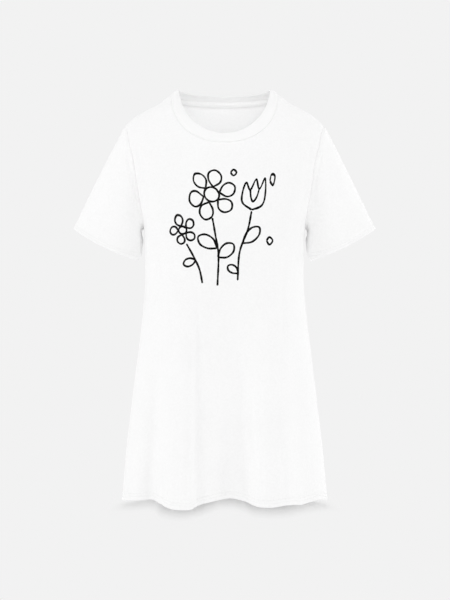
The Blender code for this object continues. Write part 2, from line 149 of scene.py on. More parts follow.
# Creases wander a little, are troughs with a low ridge along each side, and fade away at both ends and
# at the seams. A crease that reaches the hem runs out through it.
CREASE_WANDER = 0.35
WANDER_WAVES, WANDER_PHASE = 5.1, 1.7
CREASE_RIDGES = 0.55
CREASE_FADE = 0.3
CREASE_FADE_TO_HEM = 0.45
STILL_BESIDE_SEAM = 16.0
STILL_BELOW_NECK = 22.0
WAVER_SEEDS = {"front_cloth": 1.0, "back_cloth": 2.3, "sleeve_left_cloth": 3.1, "sleeve_right_cloth": 4.4}
SLEEVE_WAVER_STRETCH = 1.2


def table(names, *rows):
    """A short table, kept as one array of numbers for each named column."""
    return dict(zip(names.split(), np.array(rows, float).T))


# The body's horizontal sections, as the CAD has them.
BODY = table(
    "height half_width front_depth back_depth front_roundness back_roundness",
    (-852, 213.0, 147, 143, 2.15, 2.10),
    (-738, 203.0, 136, 130, 2.20, 2.15),
    (-639, 191.0, 127, 117, 2.30, 2.20),
    (-539, 178.5, 121, 106, 2.40, 2.30),
    (-451, 168.5, 118, 99, 2.50, 2.35),
    (-380, 163.5, 118, 97, 2.55, 2.40),
    (-306, 164.5, 122, 101, 2.55, 2.40),
    (-276, 167.0, 124, 104, 2.50, 2.40),
    (-246, 175.5, 123, 106, 2.45, 2.40),
    (-206, 188.5, 118, 107, 2.40, 2.35),
    (-175, 198.0, 111, 106, 2.35, 2.30),
    (-142, 208.0, 102, 103, 2.25, 2.20),
    (-108, 216.0, 92, 99, 2.10, 2.10),
    (-85, 213.0, 82, 94, 2.00, 2.00),
    (-70, 206.0, 77, 91, 1.95, 1.95),
    (-60, 196.0, 73, 88, 1.90, 1.90),
    (-48, 181.0, 68, 85, 1.90, 1.90),
    (-34, 155.5, 64, 81, 1.90, 1.90),
    (-22, 132.5, 60, 78, 1.90, 1.90),
    (-12, 121.5, 57, 75, 1.90, 1.90),
    (-4, 110.0, 54, 72, 1.90, 1.90),
)

# The large folds, as the CAD has them. Each starts at a height and a place across, runs to its place at
# the hem as it widens from one reach to the other, and stands out (or, under 0, in) more and more.
FRONT_FOLDS = table(
    "top_height top_place hem_place top_reach hem_reach out growth",
    (-235, -103, -86, 34, 46, 35, 1.35),
    (-235, 96, 89, 34, 56, 27, 1.35),
    (-330, -58, -52, 15, 17, -7, 0.90),
    (-350, 6, 6, 38, 45, -28, 1.20),
    (-400, -128, -143, 22, 27, -22, 1.20),
    (-430, -150, -181, 20, 26, 9, 1.20),
    (-420, 140, 158, 26, 34, -8, 1.20),
)
BACK_FOLDS = table(
    "top_height top_place hem_place top_reach hem_reach out growth",
    (-230, -92, -112, 36, 46, 24, 1.35),
    (-230, 88, 78, 36, 46, 28, 1.35),
    (-330, -30, -48, 34, 44, -20, 1.20),
    (-360, 26, 20, 26, 34, 12, 1.20),
    (-420, 128, 140, 24, 32, -18, 1.20),
    (-420, -140, -168, 24, 30, -10, 1.20),
)
# The way in which a sleeve leaves the armhole, from the underarm (0) up to the shoulder (1), how strongly
# it does so, and how strongly it then turns to its axis.
SLEEVE_HEAD = table(
    "round out forward up run arrival",
    (0.00, 0.90, 0.00, 0.44, 44, 1.40),
    (0.12, 0.92, 0.20, 0.30, 50, 1.10),
    (0.50, 0.95, 0.30, -0.08, 88, 0.55),
    (0.85, 0.76, 0.12, -0.62, 84, 0.55),
    (1.00, 0.52, 0.00, -0.85, 72, 0.55),
)
DEPTH = {FRONT: "front_depth", BACK: "back_depth"}
ROUNDNESS = {FRONT: "front_roundness", BACK: "back_roundness"}
FOLDS = {FRONT: FRONT_FOLDS, BACK: BACK_FOLDS}

# How much lower the front's bottom edge hangs here and there than its large folds alone bring it.
HEM_TRIM = table(
    "place lower",
    (-213, 0.0),
    (-190, -4.8),
    (-168, -3.2),
    (-152, 0.2),
    (-131, 5.0),
    (-117, 0.0),
    (-98, -2.0),
    (-81, -0.2),
    (-69, 2.8),
    (-56, 7.2),
    (-34, 3.4),
    (-6, 4.2),
    (14, 1.6),
    (26, 1.8),
    (48, 3.8),
    (72, 0.8),
    (104, -2.6),
    (124, 0.4),
    (151, 6.4),
    (172, 2.2),
    (196, -5.2),
    (213, 0.0),
)

# Creases laid into the cloth: each runs from one place to another in the front or the back
# view, is sunk (or, with a depth under 0, raised) by depth, and is narrow or wide by its reach.
FRONT_CREASES = table(
    "x1 z1 x2 z2 reach depth",
    (-58, -430, -53, -660, 10, 3.8),
    (-54, -560, -51, -870, 11, 4.8),
    (-72, -520, -70, -870, 9, -1.2),
    (-128, -300, -121, -520, 9, 1.2),
    (-140, -590, -150, -870, 9, 1.5),
    (121, -300, 116, -560, 9, 1.5),
    (104, -590, 118, -870, 9, 1.6),
    (24, -450, 48, -870, 24, 7.5),
    (-12, -540, -18, -870, 14, -2.4),
    (30, -560, 40, -870, 9, 2.2),
    (54, -580, 58, -870, 9, 1.8),
    (78, -560, 88, -870, 10, -1.6),
    (-30, -640, -34, -870, 8, -1.0),
    (-178, -100, -171, -166, 5, 1.6),
    (-172, -130, -160, -214, 9, 2.0),
    (-164, -186, -148, -270, 10, 2.2),
    (178, -100, 171, -166, 5, 1.4),
    (172, -130, 161, -212, 9, 2.0),
    (164, -186, 149, -270, 10, 2.2),
    (-150, -262, -118, -330, 9, 1.6),
    (-152, -280, -136, -392, 8, 1.2),
    (148, -266, 122, -336, 9, 1.4),
    (150, -286, 140, -386, 8, 1.0),
    (-92, -168, -64, -226, 14, 0.9),
    (96, -172, 70, -232, 14, 0.8),
    (-150, -60, -98, -122, 12, 0.8),
    (152, -62, 104, -126, 12, 0.8),
)
BACK_CREASES = table(
    "x1 z1 x2 z2 reach depth",
    (-46, -420, -52, -640, 10, 3.2),
    (-52, -580, -58, -870, 11, 5.0),
    (-32, -580, -36, -870, 10, -1.8),
    (44, -480, 50, -870, 13, 3.8),
    (120, -400, 132, -870, 12, 3.2),
    (-126, -420, -146, -870, 12, 2.8),
    (-150, -262, -110, -322, 9, 1.6),
    (152, -266, 108, -330, 9, 1.7),
    (-154, -288, -136, -396, 8, 1.1),
    (152, -284, 138, -380, 8, 1.2),
    (-172, -120, -164, -196, 6, 1.3),
    (173, -118, 163, -200, 6, 1.2),
    (-110, -36, -60, -52, 12, 0.9),
    (112, -38, 58, -54, 12, 0.8),
    (-60, -120, 54, -128, 16, 0.8),
    (-26, -232, 8, -420, 16, 1.2),
    (34, -250, 26, -400, 14, 0.9),
)
# On a sleeve a place is its share of the way round, from the underarm over the front (0.25) and the
# shoulder (0.5) to the back (0.75), and its share of the way from the armhole to the hem. The last two
# rows are one soft swelling along the underarm, on either side of its seam.
SLEEVE_CREASES = table(
    "round1 down1 round2 down2 reach depth",
    (0.06, 0.05, 0.20, 0.52, 9, 1.8),
    (0.08, 0.05, 0.40, 0.05, 11, 5.2),
    (0.12, 0.10, 0.27, 0.34, 7, 1.2),
    (0.94, 0.06, 0.80, 0.56, 9, 1.8),
    (0.92, 0.05, 0.62, 0.05, 11, 4.6),
    (0.87, 0.10, 0.73, 0.36, 7, 1.2),
    (0.34, 0.16, 0.22, 0.72, 13, 1.0),
    (0.66, 0.14, 0.77, 0.74, 13, 1.1),
    (0.42, 0.30, 0.38, 0.90, 12, 0.7),
    (0.58, 0.26, 0.63, 0.88, 12, 0.8),
    (0.14, 0.66, 0.18, 0.97, 9, 0.9),
    (0.84, 0.62, 0.88, 0.97, 9, 0.9),
    (0.00, 0.12, 0.00, 1.00, 34, -4.5),
    (1.00, 0.12, 1.00, 1.00, 34, -4.5),
)
# The slight waver of cloth that hangs free: long slow waves.
WAVER = table(
    "across down phase height",
    (0.052, 0.011, 0.3, 0.22),
    (0.083, -0.017, 1.9, 0.16),
    (0.031, 0.026, 4.1, 0.20),
    (0.121, 0.021, 2.6, 0.10),
    (-0.017, 0.043, 5.2, 0.14),
    (0.067, -0.052, 0.9, 0.08),
)


def smooth(columns, name, at):
    """A smooth curve through one column of a table, read against its first column, with no overshoot."""
    key = next(iter(columns.values()))
    value = columns[name]
    gap = np.diff(key)
    slope = np.diff(value) / gap
    lean = np.zeros(len(key))
    together = slope[1:] * slope[:-1] > 0
    both = np.where(together, slope[1:] + slope[:-1], 1.0)
    lean[1:-1] = np.where(together, 2 * slope[1:] * slope[:-1] / both, 0.0)
    lean[0], lean[-1] = slope[0], slope[-1]
    at = np.clip(at, key[0], key[-1])
    i = np.clip(np.searchsorted(key, at) - 1, 0, len(gap) - 1)
    t = (at - key[i]) / gap[i]
    return (
        value[i] * (1 + 2 * t) * (1 - t) ** 2
        + value[i + 1] * t**2 * (3 - 2 * t)
        + gap[i] * lean[i] * t * (1 - t) ** 2
        - gap[i] * lean[i + 1] * t**2 * (1 - t)
    )


def power(value, exponent):
    """A power that keeps the value's sign."""
    return np.sign(value) * np.abs(value) ** exponent


def ease(t):
    """From 0 to 1 with no corner at either end."""
    t = np.clip(t, 0.0, 1.0)
    return t * t * (3 - 2 * t)


def round_edge(t):
    """The share of its full thickness that a rounded edge has: 0 at the edge, 1 a radius further in."""
    return np.sqrt(1 - (1 - np.clip(t, 0.0, 1.0)) ** 2)


def unit(vectors):
    """The same directions, each one long."""
    return vectors / np.maximum(np.linalg.norm(vectors, axis=-1, keepdims=True), 1e-12)


def fold_height(side, x, z):
    """How far the hanging folds push the cloth out at a place on the front or the back."""
    out = np.zeros_like(x)
    for top, top_x, hem_x, top_reach, hem_reach, height, growth in zip(*FOLDS[side].values()):
        down = np.clip((top - z) / (top - HEM_HEIGHT_AT_SIDE), 0.0, 1.0)
        centre = top_x + (hem_x - top_x) * down
        reach = top_reach + (hem_reach - top_reach) * down
        out = out + height * down**growth * np.exp(-(((x - centre) / reach) ** 2))
    return out


def body_point(side, angle, z):
    """The body's surface at an angle round from the middle of the front or the back, at a height."""
    half_width = smooth(BODY, "half_width", z)
    depth = smooth(BODY, DEPTH[side], z)
    roundness = smooth(BODY, ROUNDNESS[side], z)
    x = half_width * power(np.sin(angle), 2 / roundness)
    y = side * depth * power(np.cos(angle), 2 / roundness)
    across = power(np.sin(angle), 2 - 2 / roundness) / half_width
    outward = side * power(np.cos(angle), 2 - 2 / roundness) / depth
    length = np.hypot(across, outward)
    fold = fold_height(side, x, z) * (1 - np.abs(np.sin(angle)) ** FOLD_FADE)
    return np.stack([x + fold * across / length, y + fold * outward / length, z], axis=-1)


def armhole_angle(side, z):
    """The angle at which the armhole seam crosses the body's surface: from the side, an ellipse."""
    middle = (SHOULDER_POINT_HEIGHT + UNDERARM_HEIGHT) / 2
    from_middle = (z - middle) / (SHOULDER_POINT_HEIGHT - middle)
    reach = ARMHOLE_REACH[side] * np.sqrt(np.clip(1 - from_middle**2, 0.0, 1.0))
    share = reach / smooth(BODY, DEPTH[side], z)
    return np.arccos(np.clip(share ** (smooth(BODY, ROUNDNESS[side], z) / 2), 0.0, 1.0))


def neck_seam_height(side, angle):
    """The height at which the neck seam crosses the body's surface, found by halving the interval."""
    drop = NECK_SEAM_DROP[side]
    low = np.full_like(angle, NECK_POINT_HEIGHT - drop)
    high = np.full_like(angle, NECK_POINT_HEIGHT)
    for _ in range(NECK_SEAM_HALVINGS):
        z = (low + high) / 2
        fall = (NECK_POINT_HEIGHT - z) / drop
        roundness = NECK_SEAM_ROUNDNESS[side]
        opening = NECK_SEAM_HALF_WIDTH * np.clip(1 - fall**roundness, 0.0, 1.0) ** (1 / roundness)
        reach = smooth(BODY, "half_width", z) * np.sin(angle) ** (2 / smooth(BODY, ROUNDNESS[side], z))
        low, high = np.where(reach > opening, z, low), np.where(reach > opening, high, z)
    return (low + high) / 2


def hem_height(side, x):
    """The bottom edge: level at the sides, raised over the bust, and lower where a fold stands out."""
    share = np.clip(np.abs(x) / smooth(BODY, "half_width", HEM_HEIGHT_AT_SIDE), 0.0, 1.0)
    fold = fold_height(side, x, np.full_like(x, HEM_HEIGHT_AT_SIDE)) * (1 - share**FOLD_FADE)
    trim = smooth(HEM_TRIM, "lower", x) if side == FRONT else 0.0
    rise = HEM_RISE[side] * (1 - share**HEM_RISE_FADE)
    return HEM_HEIGHT_AT_SIDE + rise - HEM_DROP_PER_FOLD * fold - trim


def edge_height(step):
    """The height of a panel's edge at a step above the underarm: up the armhole, then the shoulder."""
    share = np.clip(step / ARMHOLE_ROWS, 0.0, 1.0)
    crowded = (1 - np.cos(np.pi * share)) / 2
    share = crowded + ARMHOLE_EVEN_ROWS * (share - crowded)
    armhole = UNDERARM_HEIGHT + (SHOULDER_POINT_HEIGHT - UNDERARM_HEIGHT) * share
    along = np.clip((step - ARMHOLE_ROWS) / SHOULDER_ROWS, 0.0, 1.0)
    return armhole + (NECK_POINT_HEIGHT - SHOULDER_POINT_HEIGHT) * along


def edge_angle(side, step):
    """The angle of a panel's edge at a step above the underarm."""
    return armhole_angle(side, edge_height(step)) if 0 < step < ARMHOLE_ROWS else QUARTER


def near_edge(side):
    """The angle that the cloth beside the edge keeps to, step by step, so that it turns softly."""
    steps = np.arange(ARMHOLE_ROWS + SHOULDER_ROWS + 1)
    angles = np.array([edge_angle(side, step) for step in steps])
    eased = angles.copy()
    for _ in range(EDGE_EASING_PASSES):
        eased[1:-1] = np.minimum(angles[1:-1], (eased[:-2] + 2 * eased[1:-1] + eased[2:]) / 4)
    return {"step": steps.astype(float), "angle": eased}


def skirt_shares():
    """Places of the rows from the hem (0) to the underarm (1)."""
    length = UNDERARM_HEIGHT - HEM_HEIGHT_AT_SIDE
    count = int(round((length - HEM_ROWS[-1]) / SKIRT_ROW_SPACING))
    above = np.linspace(HEM_ROWS[-1] / length, 1.0, count + 1)[1:]
    return np.concatenate([np.array(HEM_ROWS) / length, above])


def upper_steps():
    """Places of the rows above the underarm, counted in the CAD's rows."""
    count = ARMHOLE_ROWS + SHOULDER_ROWS
    return np.arange(1, count * ROWS_PER_STEP + 1) / ROWS_PER_STEP


def panel_grid(side, columns):
    """The points of the front or back panel, row by row from hem to neck, left to right."""
    across = np.linspace(-1.0, 1.0, columns + 1)
    hem_x = smooth(BODY, "half_width", HEM_HEIGHT_AT_SIDE) * np.sin(across * QUARTER)
    bottom = hem_height(side, hem_x)
    rows = []
    for share in skirt_shares():
        rows.append(body_point(side, across * QUARTER, bottom + (UNDERARM_HEIGHT - bottom) * share))
    top = neck_seam_height(side, np.abs(across) * QUARTER)
    edge_weight = ease((np.abs(across) - EDGE_BLEND[0]) / (EDGE_BLEND[1] - EDGE_BLEND[0]))
    corner_weight = ease((np.abs(across) - EDGE_CORNER) / (1 - EDGE_CORNER))
    beside = near_edge(side)
    steps = upper_steps()
    for step in steps:
        near = smooth(beside, "angle", step)
        edge = edge_angle(side, step)
        middle_share = step / steps[-1]
        edge_share = (edge_height(step) - UNDERARM_HEIGHT) / (NECK_POINT_HEIGHT - UNDERARM_HEIGHT)
        share = middle_share + (edge_share - middle_share) * edge_weight
        z = UNDERARM_HEIGHT + (top - UNDERARM_HEIGHT) * share
        lift = SHOULDER_LIFT * np.exp(-(((step - ARMHOLE_ROWS) / SHOULDER_LIFT_ROWS) ** 2))
        z = z + lift * 4 * across**2 * (1 - across**2)
        middle = QUARTER * (1 - ARMHOLE_SQUEEZE * np.sin(np.pi * middle_share))
        angle = across * (middle + (near - middle) * edge_weight)
        angle = angle + np.sign(across) * (edge - near) * corner_weight
        rows.append(body_point(side, angle, z))
    return np.array(rows)


def arc_share(points):
    """Each point's share of the way along a line of points."""
    steps = np.linalg.norm(np.diff(points, axis=0), axis=1)
    return np.concatenate([[0.0], np.cumsum(steps)]) / steps.sum()


def sleeve_grid(hand, front, back):
    """The points of a sleeve, row by row from the armhole to its hem, round from the underarm over
    the front to the shoulder and down the back."""
    first = len(skirt_shares()) - 1
    last = first + ARMHOLE_ROWS * ROWS_PER_STEP
    edge = 0 if hand == LEFT else -1
    up_front = front[first : last + 1, edge]
    up_back = back[first : last + 1, edge]
    head = np.concatenate([up_front, up_back[-2:0:-1]])
    round_front = arc_share(up_front)
    round_back = arc_share(up_back)[-2:0:-1]
    share = np.concatenate([round_front, round_back])
    side = np.concatenate([np.full(len(round_front), FRONT), np.full(len(round_back), BACK)])
    angle = share * np.pi

    axis = np.array([hand * np.sin(SLEEVE_LEAN), 0.0, -np.cos(SLEEVE_LEAN)])
    upper = np.array([hand * np.cos(SLEEVE_LEAN), 0.0, np.sin(SLEEVE_LEAN)])
    centre = np.array(SLEEVE_HEM_CENTRE) * (hand, 1, 1)
    hem = centre - np.outer(np.cos(angle), upper) * SLEEVE_HEM_HALF_WIDTH
    hem[:, 1] += side * np.sin(angle) * SLEEVE_HEM_HALF_DEPTH
    hem += np.outer(SLEEVE_HEM_BOW * np.sin(angle) ** 2, axis)

    leave = np.stack(
        [
            hand * smooth(SLEEVE_HEAD, "out", share),
            side * smooth(SLEEVE_HEAD, "forward", share),
            smooth(SLEEVE_HEAD, "up", share),
        ],
        axis=-1,
    )
    leave *= smooth(SLEEVE_HEAD, "run", share)[:, None]
    length = np.linalg.norm(hem - head, axis=1)
    arrive = np.outer(smooth(SLEEVE_HEAD, "arrival", share) * length, axis)
    places = [step * (1 - HEM_ROWS[-1] / length) for step in np.linspace(0.0, 1.0, SLEEVE_ROWS + 1)]
    places += [1 - height / length for height in HEM_ROWS[-2::-1]]
    rows = []
    for t in places:
        t = t[:, None]
        rows.append(
            head * (1 + 2 * t) * (1 - t) ** 2
            + hem * t**2 * (3 - 2 * t)
            + leave * t * (1 - t) ** 2
            - arrive * t**2 * (1 - t)
        )
    return np.array(rows), share, side


def band_grid(front, back):
    """The points of the neckband, row by row from the neck seam to its folded edge, round from the
    viewer's left shoulder over the front and back along the back."""
    seam = np.concatenate([front[-1], back[-1][-2:0:-1]])
    side = np.concatenate([np.full(len(front[-1]), FRONT), np.full(len(back[-1]) - 2, BACK)])
    seam_depth = np.where(side == FRONT, np.abs(front[-1][:, 1]).max(), np.abs(back[-1][:, 1]).max())
    by_width = np.arcsin(np.clip(np.abs(seam[:, 0]) / NECK_SEAM_HALF_WIDTH, 0.0, 1.0))
    by_depth = np.arccos(np.clip(np.abs(seam[:, 1]) / seam_depth, 0.0, 1.0))
    angle = (by_width + by_depth) / 2
    across = np.sign(seam[:, 0]) * np.sin(angle)
    inward = np.cos(angle)
    fall = (np.hypot(inward, BAND_TURN) - BAND_TURN) / (np.hypot(1.0, BAND_TURN) - BAND_TURN)
    depth = np.where(side == FRONT, BAND_EDGE_DEPTH[FRONT], BAND_EDGE_DEPTH[BACK])
    drop = np.where(side == FRONT, BAND_EDGE_DROP[FRONT], BAND_EDGE_DROP[BACK])
    edge = np.stack(
        [BAND_EDGE_HALF_WIDTH * across, side * depth * inward, BAND_EDGE_HEIGHT - drop * fall], axis=-1
    )
    chord = edge - seam
    round_way = np.roll(seam, -1, axis=0) - np.roll(seam, 1, axis=0)
    outward = unit(np.cross(round_way, chord))
    rows = []
    for share in np.linspace(0.0, 1.0, BAND_ROWS + 1):
        rows.append(seam + chord * share + outward * BAND_CROWN * 4 * share * (1 - share))
    return np.array(rows)


def tape_grid(back, band):
    """The points of the tape inside the back of the neck, row by row from the panel up over the seam."""
    seam = back[-1]
    behind = [0, *(len(band[0]) - i for i in range(1, len(seam) - 1)), len(seam) - 1]
    above = band[BAND_ROWS // 3, behind]
    along = unit(np.gradient(seam, axis=0))
    ways = []
    for neighbour in (back[-4], above):
        way = neighbour - seam
        ways.append(unit(way - along * (way * along).sum(axis=1)[:, None]))
    down, up = ways
    inward = unit(np.stack([np.cross(along, -down), np.cross(along, up)]))
    inside = RIB_WALL / 2 + TAPE_CLEARANCE + TAPE_WALL / 2
    rows = []
    for height in np.linspace(-TAPE_HALF_HEIGHT, TAPE_HALF_HEIGHT, TAPE_ROWS + 1):
        lean = ease((height + TAPE_BEND) / (2 * TAPE_BEND))
        face = unit(inward[0] * (1 - lean) + inward[1] * lean)
        cosine = np.maximum((face * inward[0]).sum(axis=1), TAPE_LEAST_COSINE)[:, None]
        way = up * max(height, 0.0) + down * max(-height, 0.0)
        rows.append(seam + way + face * inside / cosine)
    return np.array(rows)


def grid_normals(grid, closed):
    """The direction out of a grid of points, row by row: left to right crossed with low to high."""
    if closed:
        along = np.roll(grid, -1, axis=1) - np.roll(grid, 1, axis=1)
    else:
        along = np.gradient(grid, axis=1)
    return unit(np.cross(along, np.gradient(grid, axis=0)))


def share_normals(pieces):
    """Where pieces meet at a seam, both get the same direction, midway between their own."""
    points = np.concatenate([piece.points.reshape(-1, 3) for piece in pieces])
    normals = np.concatenate([piece.normals.reshape(-1, 3) for piece in pieces])
    _, same = np.unique(np.round(points, 3), axis=0, return_inverse=True)
    same = same.reshape(-1)
    total = np.zeros((same.max() + 1, 3))
    np.add.at(total, same, normals)
    shared = unit(total)[same]
    start = 0
    for piece in pieces:
        count = piece.points.shape[0] * piece.points.shape[1]
        piece.normals = shared[start : start + count].reshape(piece.points.shape)
        start += count


def crease_depth(creases, across, down):
    """How deep the hand-laid creases are at each place, with ends that fade away."""
    depth = np.zeros_like(across)
    for number, (a1, d1, a2, d2, reach, deep) in enumerate(zip(*creases.values())):
        length = np.hypot(a2 - a1, d2 - d1)
        along_a, along_d = (a2 - a1) / length, (d2 - d1) / length
        along = ((across - a1) * along_a + (down - d1) * along_d) / length
        wander = CREASE_WANDER * reach * np.sin(WANDER_WAVES * along + WANDER_PHASE * number)
        wander = wander * np.sin(np.pi * np.clip(along, 0, 1))
        off = (across - a1) * along_d - (down - d1) * along_a + wander
        if d2 <= HEM_HEIGHT_AT_SIDE:
            fade = ease(along / CREASE_FADE_TO_HEM)
        else:
            fade = ease(along / CREASE_FADE) * ease((1 - along) / CREASE_FADE)
        near = (off / reach) ** 2
        depth = depth + deep * fade * (1 - CREASE_RIDGES * near) * np.exp(-near)
    return depth


def unevenness(across, down, seed):
    """The height of the waver at each place, about a millimetre at most."""
    total = np.zeros_like(across)
    for a, d, phase, height in zip(*WAVER.values()):
        total = total + height * np.sin(a * across + d * down + phase * seed)
    return total


def arc_from(points, axis, last=False):
    """Each point's distance along its row or column from the first point, or from the last."""
    if last:
        return np.flip(arc_from(np.flip(points, axis), axis), axis)
    steps = np.linalg.norm(np.diff(points, axis=axis), axis=-1)
    return np.concatenate([np.zeros_like(steps.take([0], axis)), np.cumsum(steps, axis)], axis)


def from_edge(grid, edge):
    """A view of a grid that is turned so that the edge is its first row."""
    if edge.endswith("column"):
        grid = grid.transpose(1, 0, 2)
    return grid[::-1] if edge.startswith("last") else grid


def back_from_edge(grid, edge):
    """The same, turned back again."""
    if edge.startswith("last"):
        grid = grid[::-1]
    return grid.transpose(1, 0, 2) if edge.endswith("column") else grid


class Cloth:
    """One cut piece: a grid of points, with the direction out of the cloth at each."""

    def __init__(self, name, points, closed):
        self.name = name
        self.points = points
        self.closed = closed
        self.normals = grid_normals(points, closed)

    def move_out(self, distance):
        """Move each point along its normal."""
        self.points = self.points + self.normals * distance[:, :, None]

    def refine_edge(self, edge):
        """Add lines of points close beside an edge, so that its seam can be a narrow groove."""
        points = from_edge(self.points, edge)
        step = np.maximum(np.linalg.norm(points[1] - points[0], axis=-1), SHORTEST_STEP)
        shares = [np.minimum(distance / step, most)[:, None]
                  for distance, most in zip(NEAR_SEAM, NEAR_SEAM_SHARES)]
        for name in ("points", "normals"):
            grid = from_edge(getattr(self, name), edge)
            lines = [grid[0] + (grid[1] - grid[0]) * share for share in shares]
            setattr(self, name, back_from_edge(np.concatenate([grid[:1], lines, grid[1:]]), edge))
        self.normals = unit(self.normals)

    def draw_back(self, edge):
        """Draw a seam edge back by half of the seam's gap."""
        points = from_edge(self.points, edge)
        points[0] += unit(points[1] - points[0]) * (SEAM_GAP / 2)


def dip(distance):
    """How deep the groove of a seam is at a distance from it."""
    return SEAM_DIP * np.exp(-((distance / SEAM_DIP_REACH) ** 2))


def edge_thinning(distance):
    """A wall's share of its thickness near a seam, where the pieces are pressed together."""
    return PRESSED_SHARE + (1 - PRESSED_SHARE) * ease(distance / PRESSED_REACH)


def stitch_channel(height):
    """The shallow channels that the twin needle pulls into a hem."""
    return sum(CHANNEL_DEPTH * np.exp(-(((height - row) / CHANNEL_REACH) ** 2))
               for row in HEM_STITCH_HEIGHTS)


def hem_profile(height):
    """Half the wall above the hem's folded edge: round at the fold, double, then single."""
    turned = HEM_WALL / 2 * round_edge(height / (HEM_WALL / 2))
    above = ease((height - HEM_HEIGHT + HEM_STEP / 2) / HEM_STEP)
    return np.maximum(turned, HEM_FOLD_HALF_WALL) * (1 - above) + JERSEY_WALL / 2 * above


def add_mesh(name, points, faces, corners, material, sharp=None):
    """An object from points in millimetres and faces. The corners of the faces, where they are given,
    are its UV map, which is in metres of cloth."""
    mesh = bpy.data.meshes.new(name)
    mesh.from_pydata((points * MM).tolist(), [], faces)
    mesh.update()
    if corners is not None:
        layer = mesh.uv_layers.new(name="cloth")
        layer.data.foreach_set("uv", (corners * MM).astype(np.float32).ravel())
    mesh.shade_smooth()
    if sharp:
        mesh.set_sharp_from_angle(angle=np.radians(sharp))
    mesh.materials.append(material)
    thing = bpy.data.objects.new(name, mesh)
    bpy.context.scene.collection.objects.link(thing)
    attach(thing, "root")
    return thing


def wall_faces(number, further, closed):
    """The quads of a closed wall from a grid of point numbers; its inner face's are further on."""
    under = number + further
    outside = np.stack([number[:-1, :-1], number[:-1, 1:], number[1:, 1:], number[1:, :-1]], axis=-1)
    lining = np.stack([under[:-1, :-1], under[1:, :-1], under[1:, 1:], under[:-1, 1:]], axis=-1)
    faces = [outside.reshape(-1, 4), lining.reshape(-1, 4)]
    lines = [(number[0], under[0]), (number[-1][::-1], under[-1][::-1])]
    if not closed:
        lines += [(number[:, -1], under[:, -1]), (number[::-1, 0], under[::-1, 0])]
    for top, low in lines:
        faces.append(np.stack([top[1:], top[:-1], low[:-1], low[1:]], axis=-1))
    return np.concatenate(faces)


def add_wall(cloth, half, uv, material):
    """The closed wall of a piece: its grid moved out and in by half the wall, joined round its edges.
    The cloth keeps both faces, for what is sewn or printed on them."""
    rows, columns = cloth.points.shape[:2]
    cloth.outer = cloth.points + cloth.normals * half[:, :, None]
    cloth.inner = cloth.points - cloth.normals * half[:, :, None]
    number = np.arange(rows * columns).reshape(rows, columns)
    if cloth.closed:
        number = np.concatenate([number, number[:, :1]], axis=1)
    places = np.arange(uv.shape[0] * uv.shape[1]).reshape(uv.shape[:2])
    faces = wall_faces(number, rows * columns, cloth.closed)
    corners = uv.reshape(-1, 2)[wall_faces(places, 0, cloth.closed).ravel()]
    points = np.concatenate([cloth.outer.reshape(-1, 3), cloth.inner.reshape(-1, 3)])
    return add_mesh(cloth.name, points, faces.tolist(), corners, material, sharp=50)


def colour(code):
    """A colour from its sRGB hex code, as the linear values that a material takes."""
    value = np.array([int(code[i : i + 2], 16) for i in (1, 3, 5)]) / 255
    linear = np.where(value <= 0.04045, value / 12.92, ((value + 0.055) / 1.055) ** 2.4)
    return (*linear.tolist(), 1.0)


def add_node(tree, kind, inputs=(), **settings):
    """Add a node with its settings, its values and the links into it."""
    node = tree.nodes.new(kind)
    for name, value in settings.items():
        setattr(node, name, value)
    for name, value in dict(inputs).items():
        if isinstance(value, bpy.types.NodeSocket):
            tree.links.new(value, node.inputs[name])
        else:
            node.inputs[name].default_value = value
    return node


def new_material(name, **values):
    """A material, its tree and its Principled surface, which has the values given on its own sockets."""
    material = bpy.data.materials.new(name)
    material.use_nodes = True
    tree = material.node_tree
    surface = tree.nodes["Principled BSDF"]
    for socket, value in values.items():
        surface.inputs[socket.replace("_", " ")].default_value = value
    return material, tree, surface


# The size of one knitted stitch in metres. The jersey's real wale is about 0.8 mm; it is drawn 1.5 mm
# wide, or it would not show.
JERSEY_WALE = 0.0015
RIB_WALE = 0.0022
COURSE = 0.0012
V_LEAN = 1.3
BLEACHED_COTTON = {"Roughness": 0.88, "Specular_IOR_Level": 0.25, "Sheen_Weight": 0.10,
                   "Sheen_Roughness": 0.45}


def knit_height(tree, wale):
    """Plain knit: in each wale two legs lean together into a V, one V on top of the next. Gives the
    height socket."""
    place = add_node(tree, "ShaderNodeUVMap", uv_map="cloth")
    split = add_node(tree, "ShaderNodeSeparateXYZ", {0: place.outputs["UV"]})
    across = add_node(tree, "ShaderNodeMath", {0: split.outputs["X"], 1: 1 / wale}, operation="MULTIPLY")
    up = add_node(tree, "ShaderNodeMath", {0: split.outputs["Y"], 1: 1 / COURSE}, operation="MULTIPLY")
    within = add_node(tree, "ShaderNodeMath", {0: across.outputs[0]}, operation="FRACT")
    centred = add_node(tree, "ShaderNodeMath", {0: within.outputs[0], 1: 0.5}, operation="SUBTRACT")
    off = add_node(tree, "ShaderNodeMath", {0: centred.outputs[0]}, operation="ABSOLUTE")
    lean = add_node(tree, "ShaderNodeMath", {0: off.outputs[0], 1: V_LEAN, 2: up.outputs[0]},
                    operation="MULTIPLY_ADD")
    turn = add_node(tree, "ShaderNodeMath", {0: lean.outputs[0], 1: 2 * np.pi}, operation="MULTIPLY")
    leg = add_node(tree, "ShaderNodeMath", {0: turn.outputs[0]}, operation="COSINE")
    round_leg = add_node(tree, "ShaderNodeMath", {0: off.outputs[0], 1: 2 * np.pi}, operation="MULTIPLY")
    ridge = add_node(tree, "ShaderNodeMath", {0: round_leg.outputs[0]}, operation="SINE")
    both = add_node(tree, "ShaderNodeMath", {0: leg.outputs[0], 1: 0.5, 2: ridge.outputs[0]},
                    operation="MULTIPLY_ADD")
    return both.outputs[0]


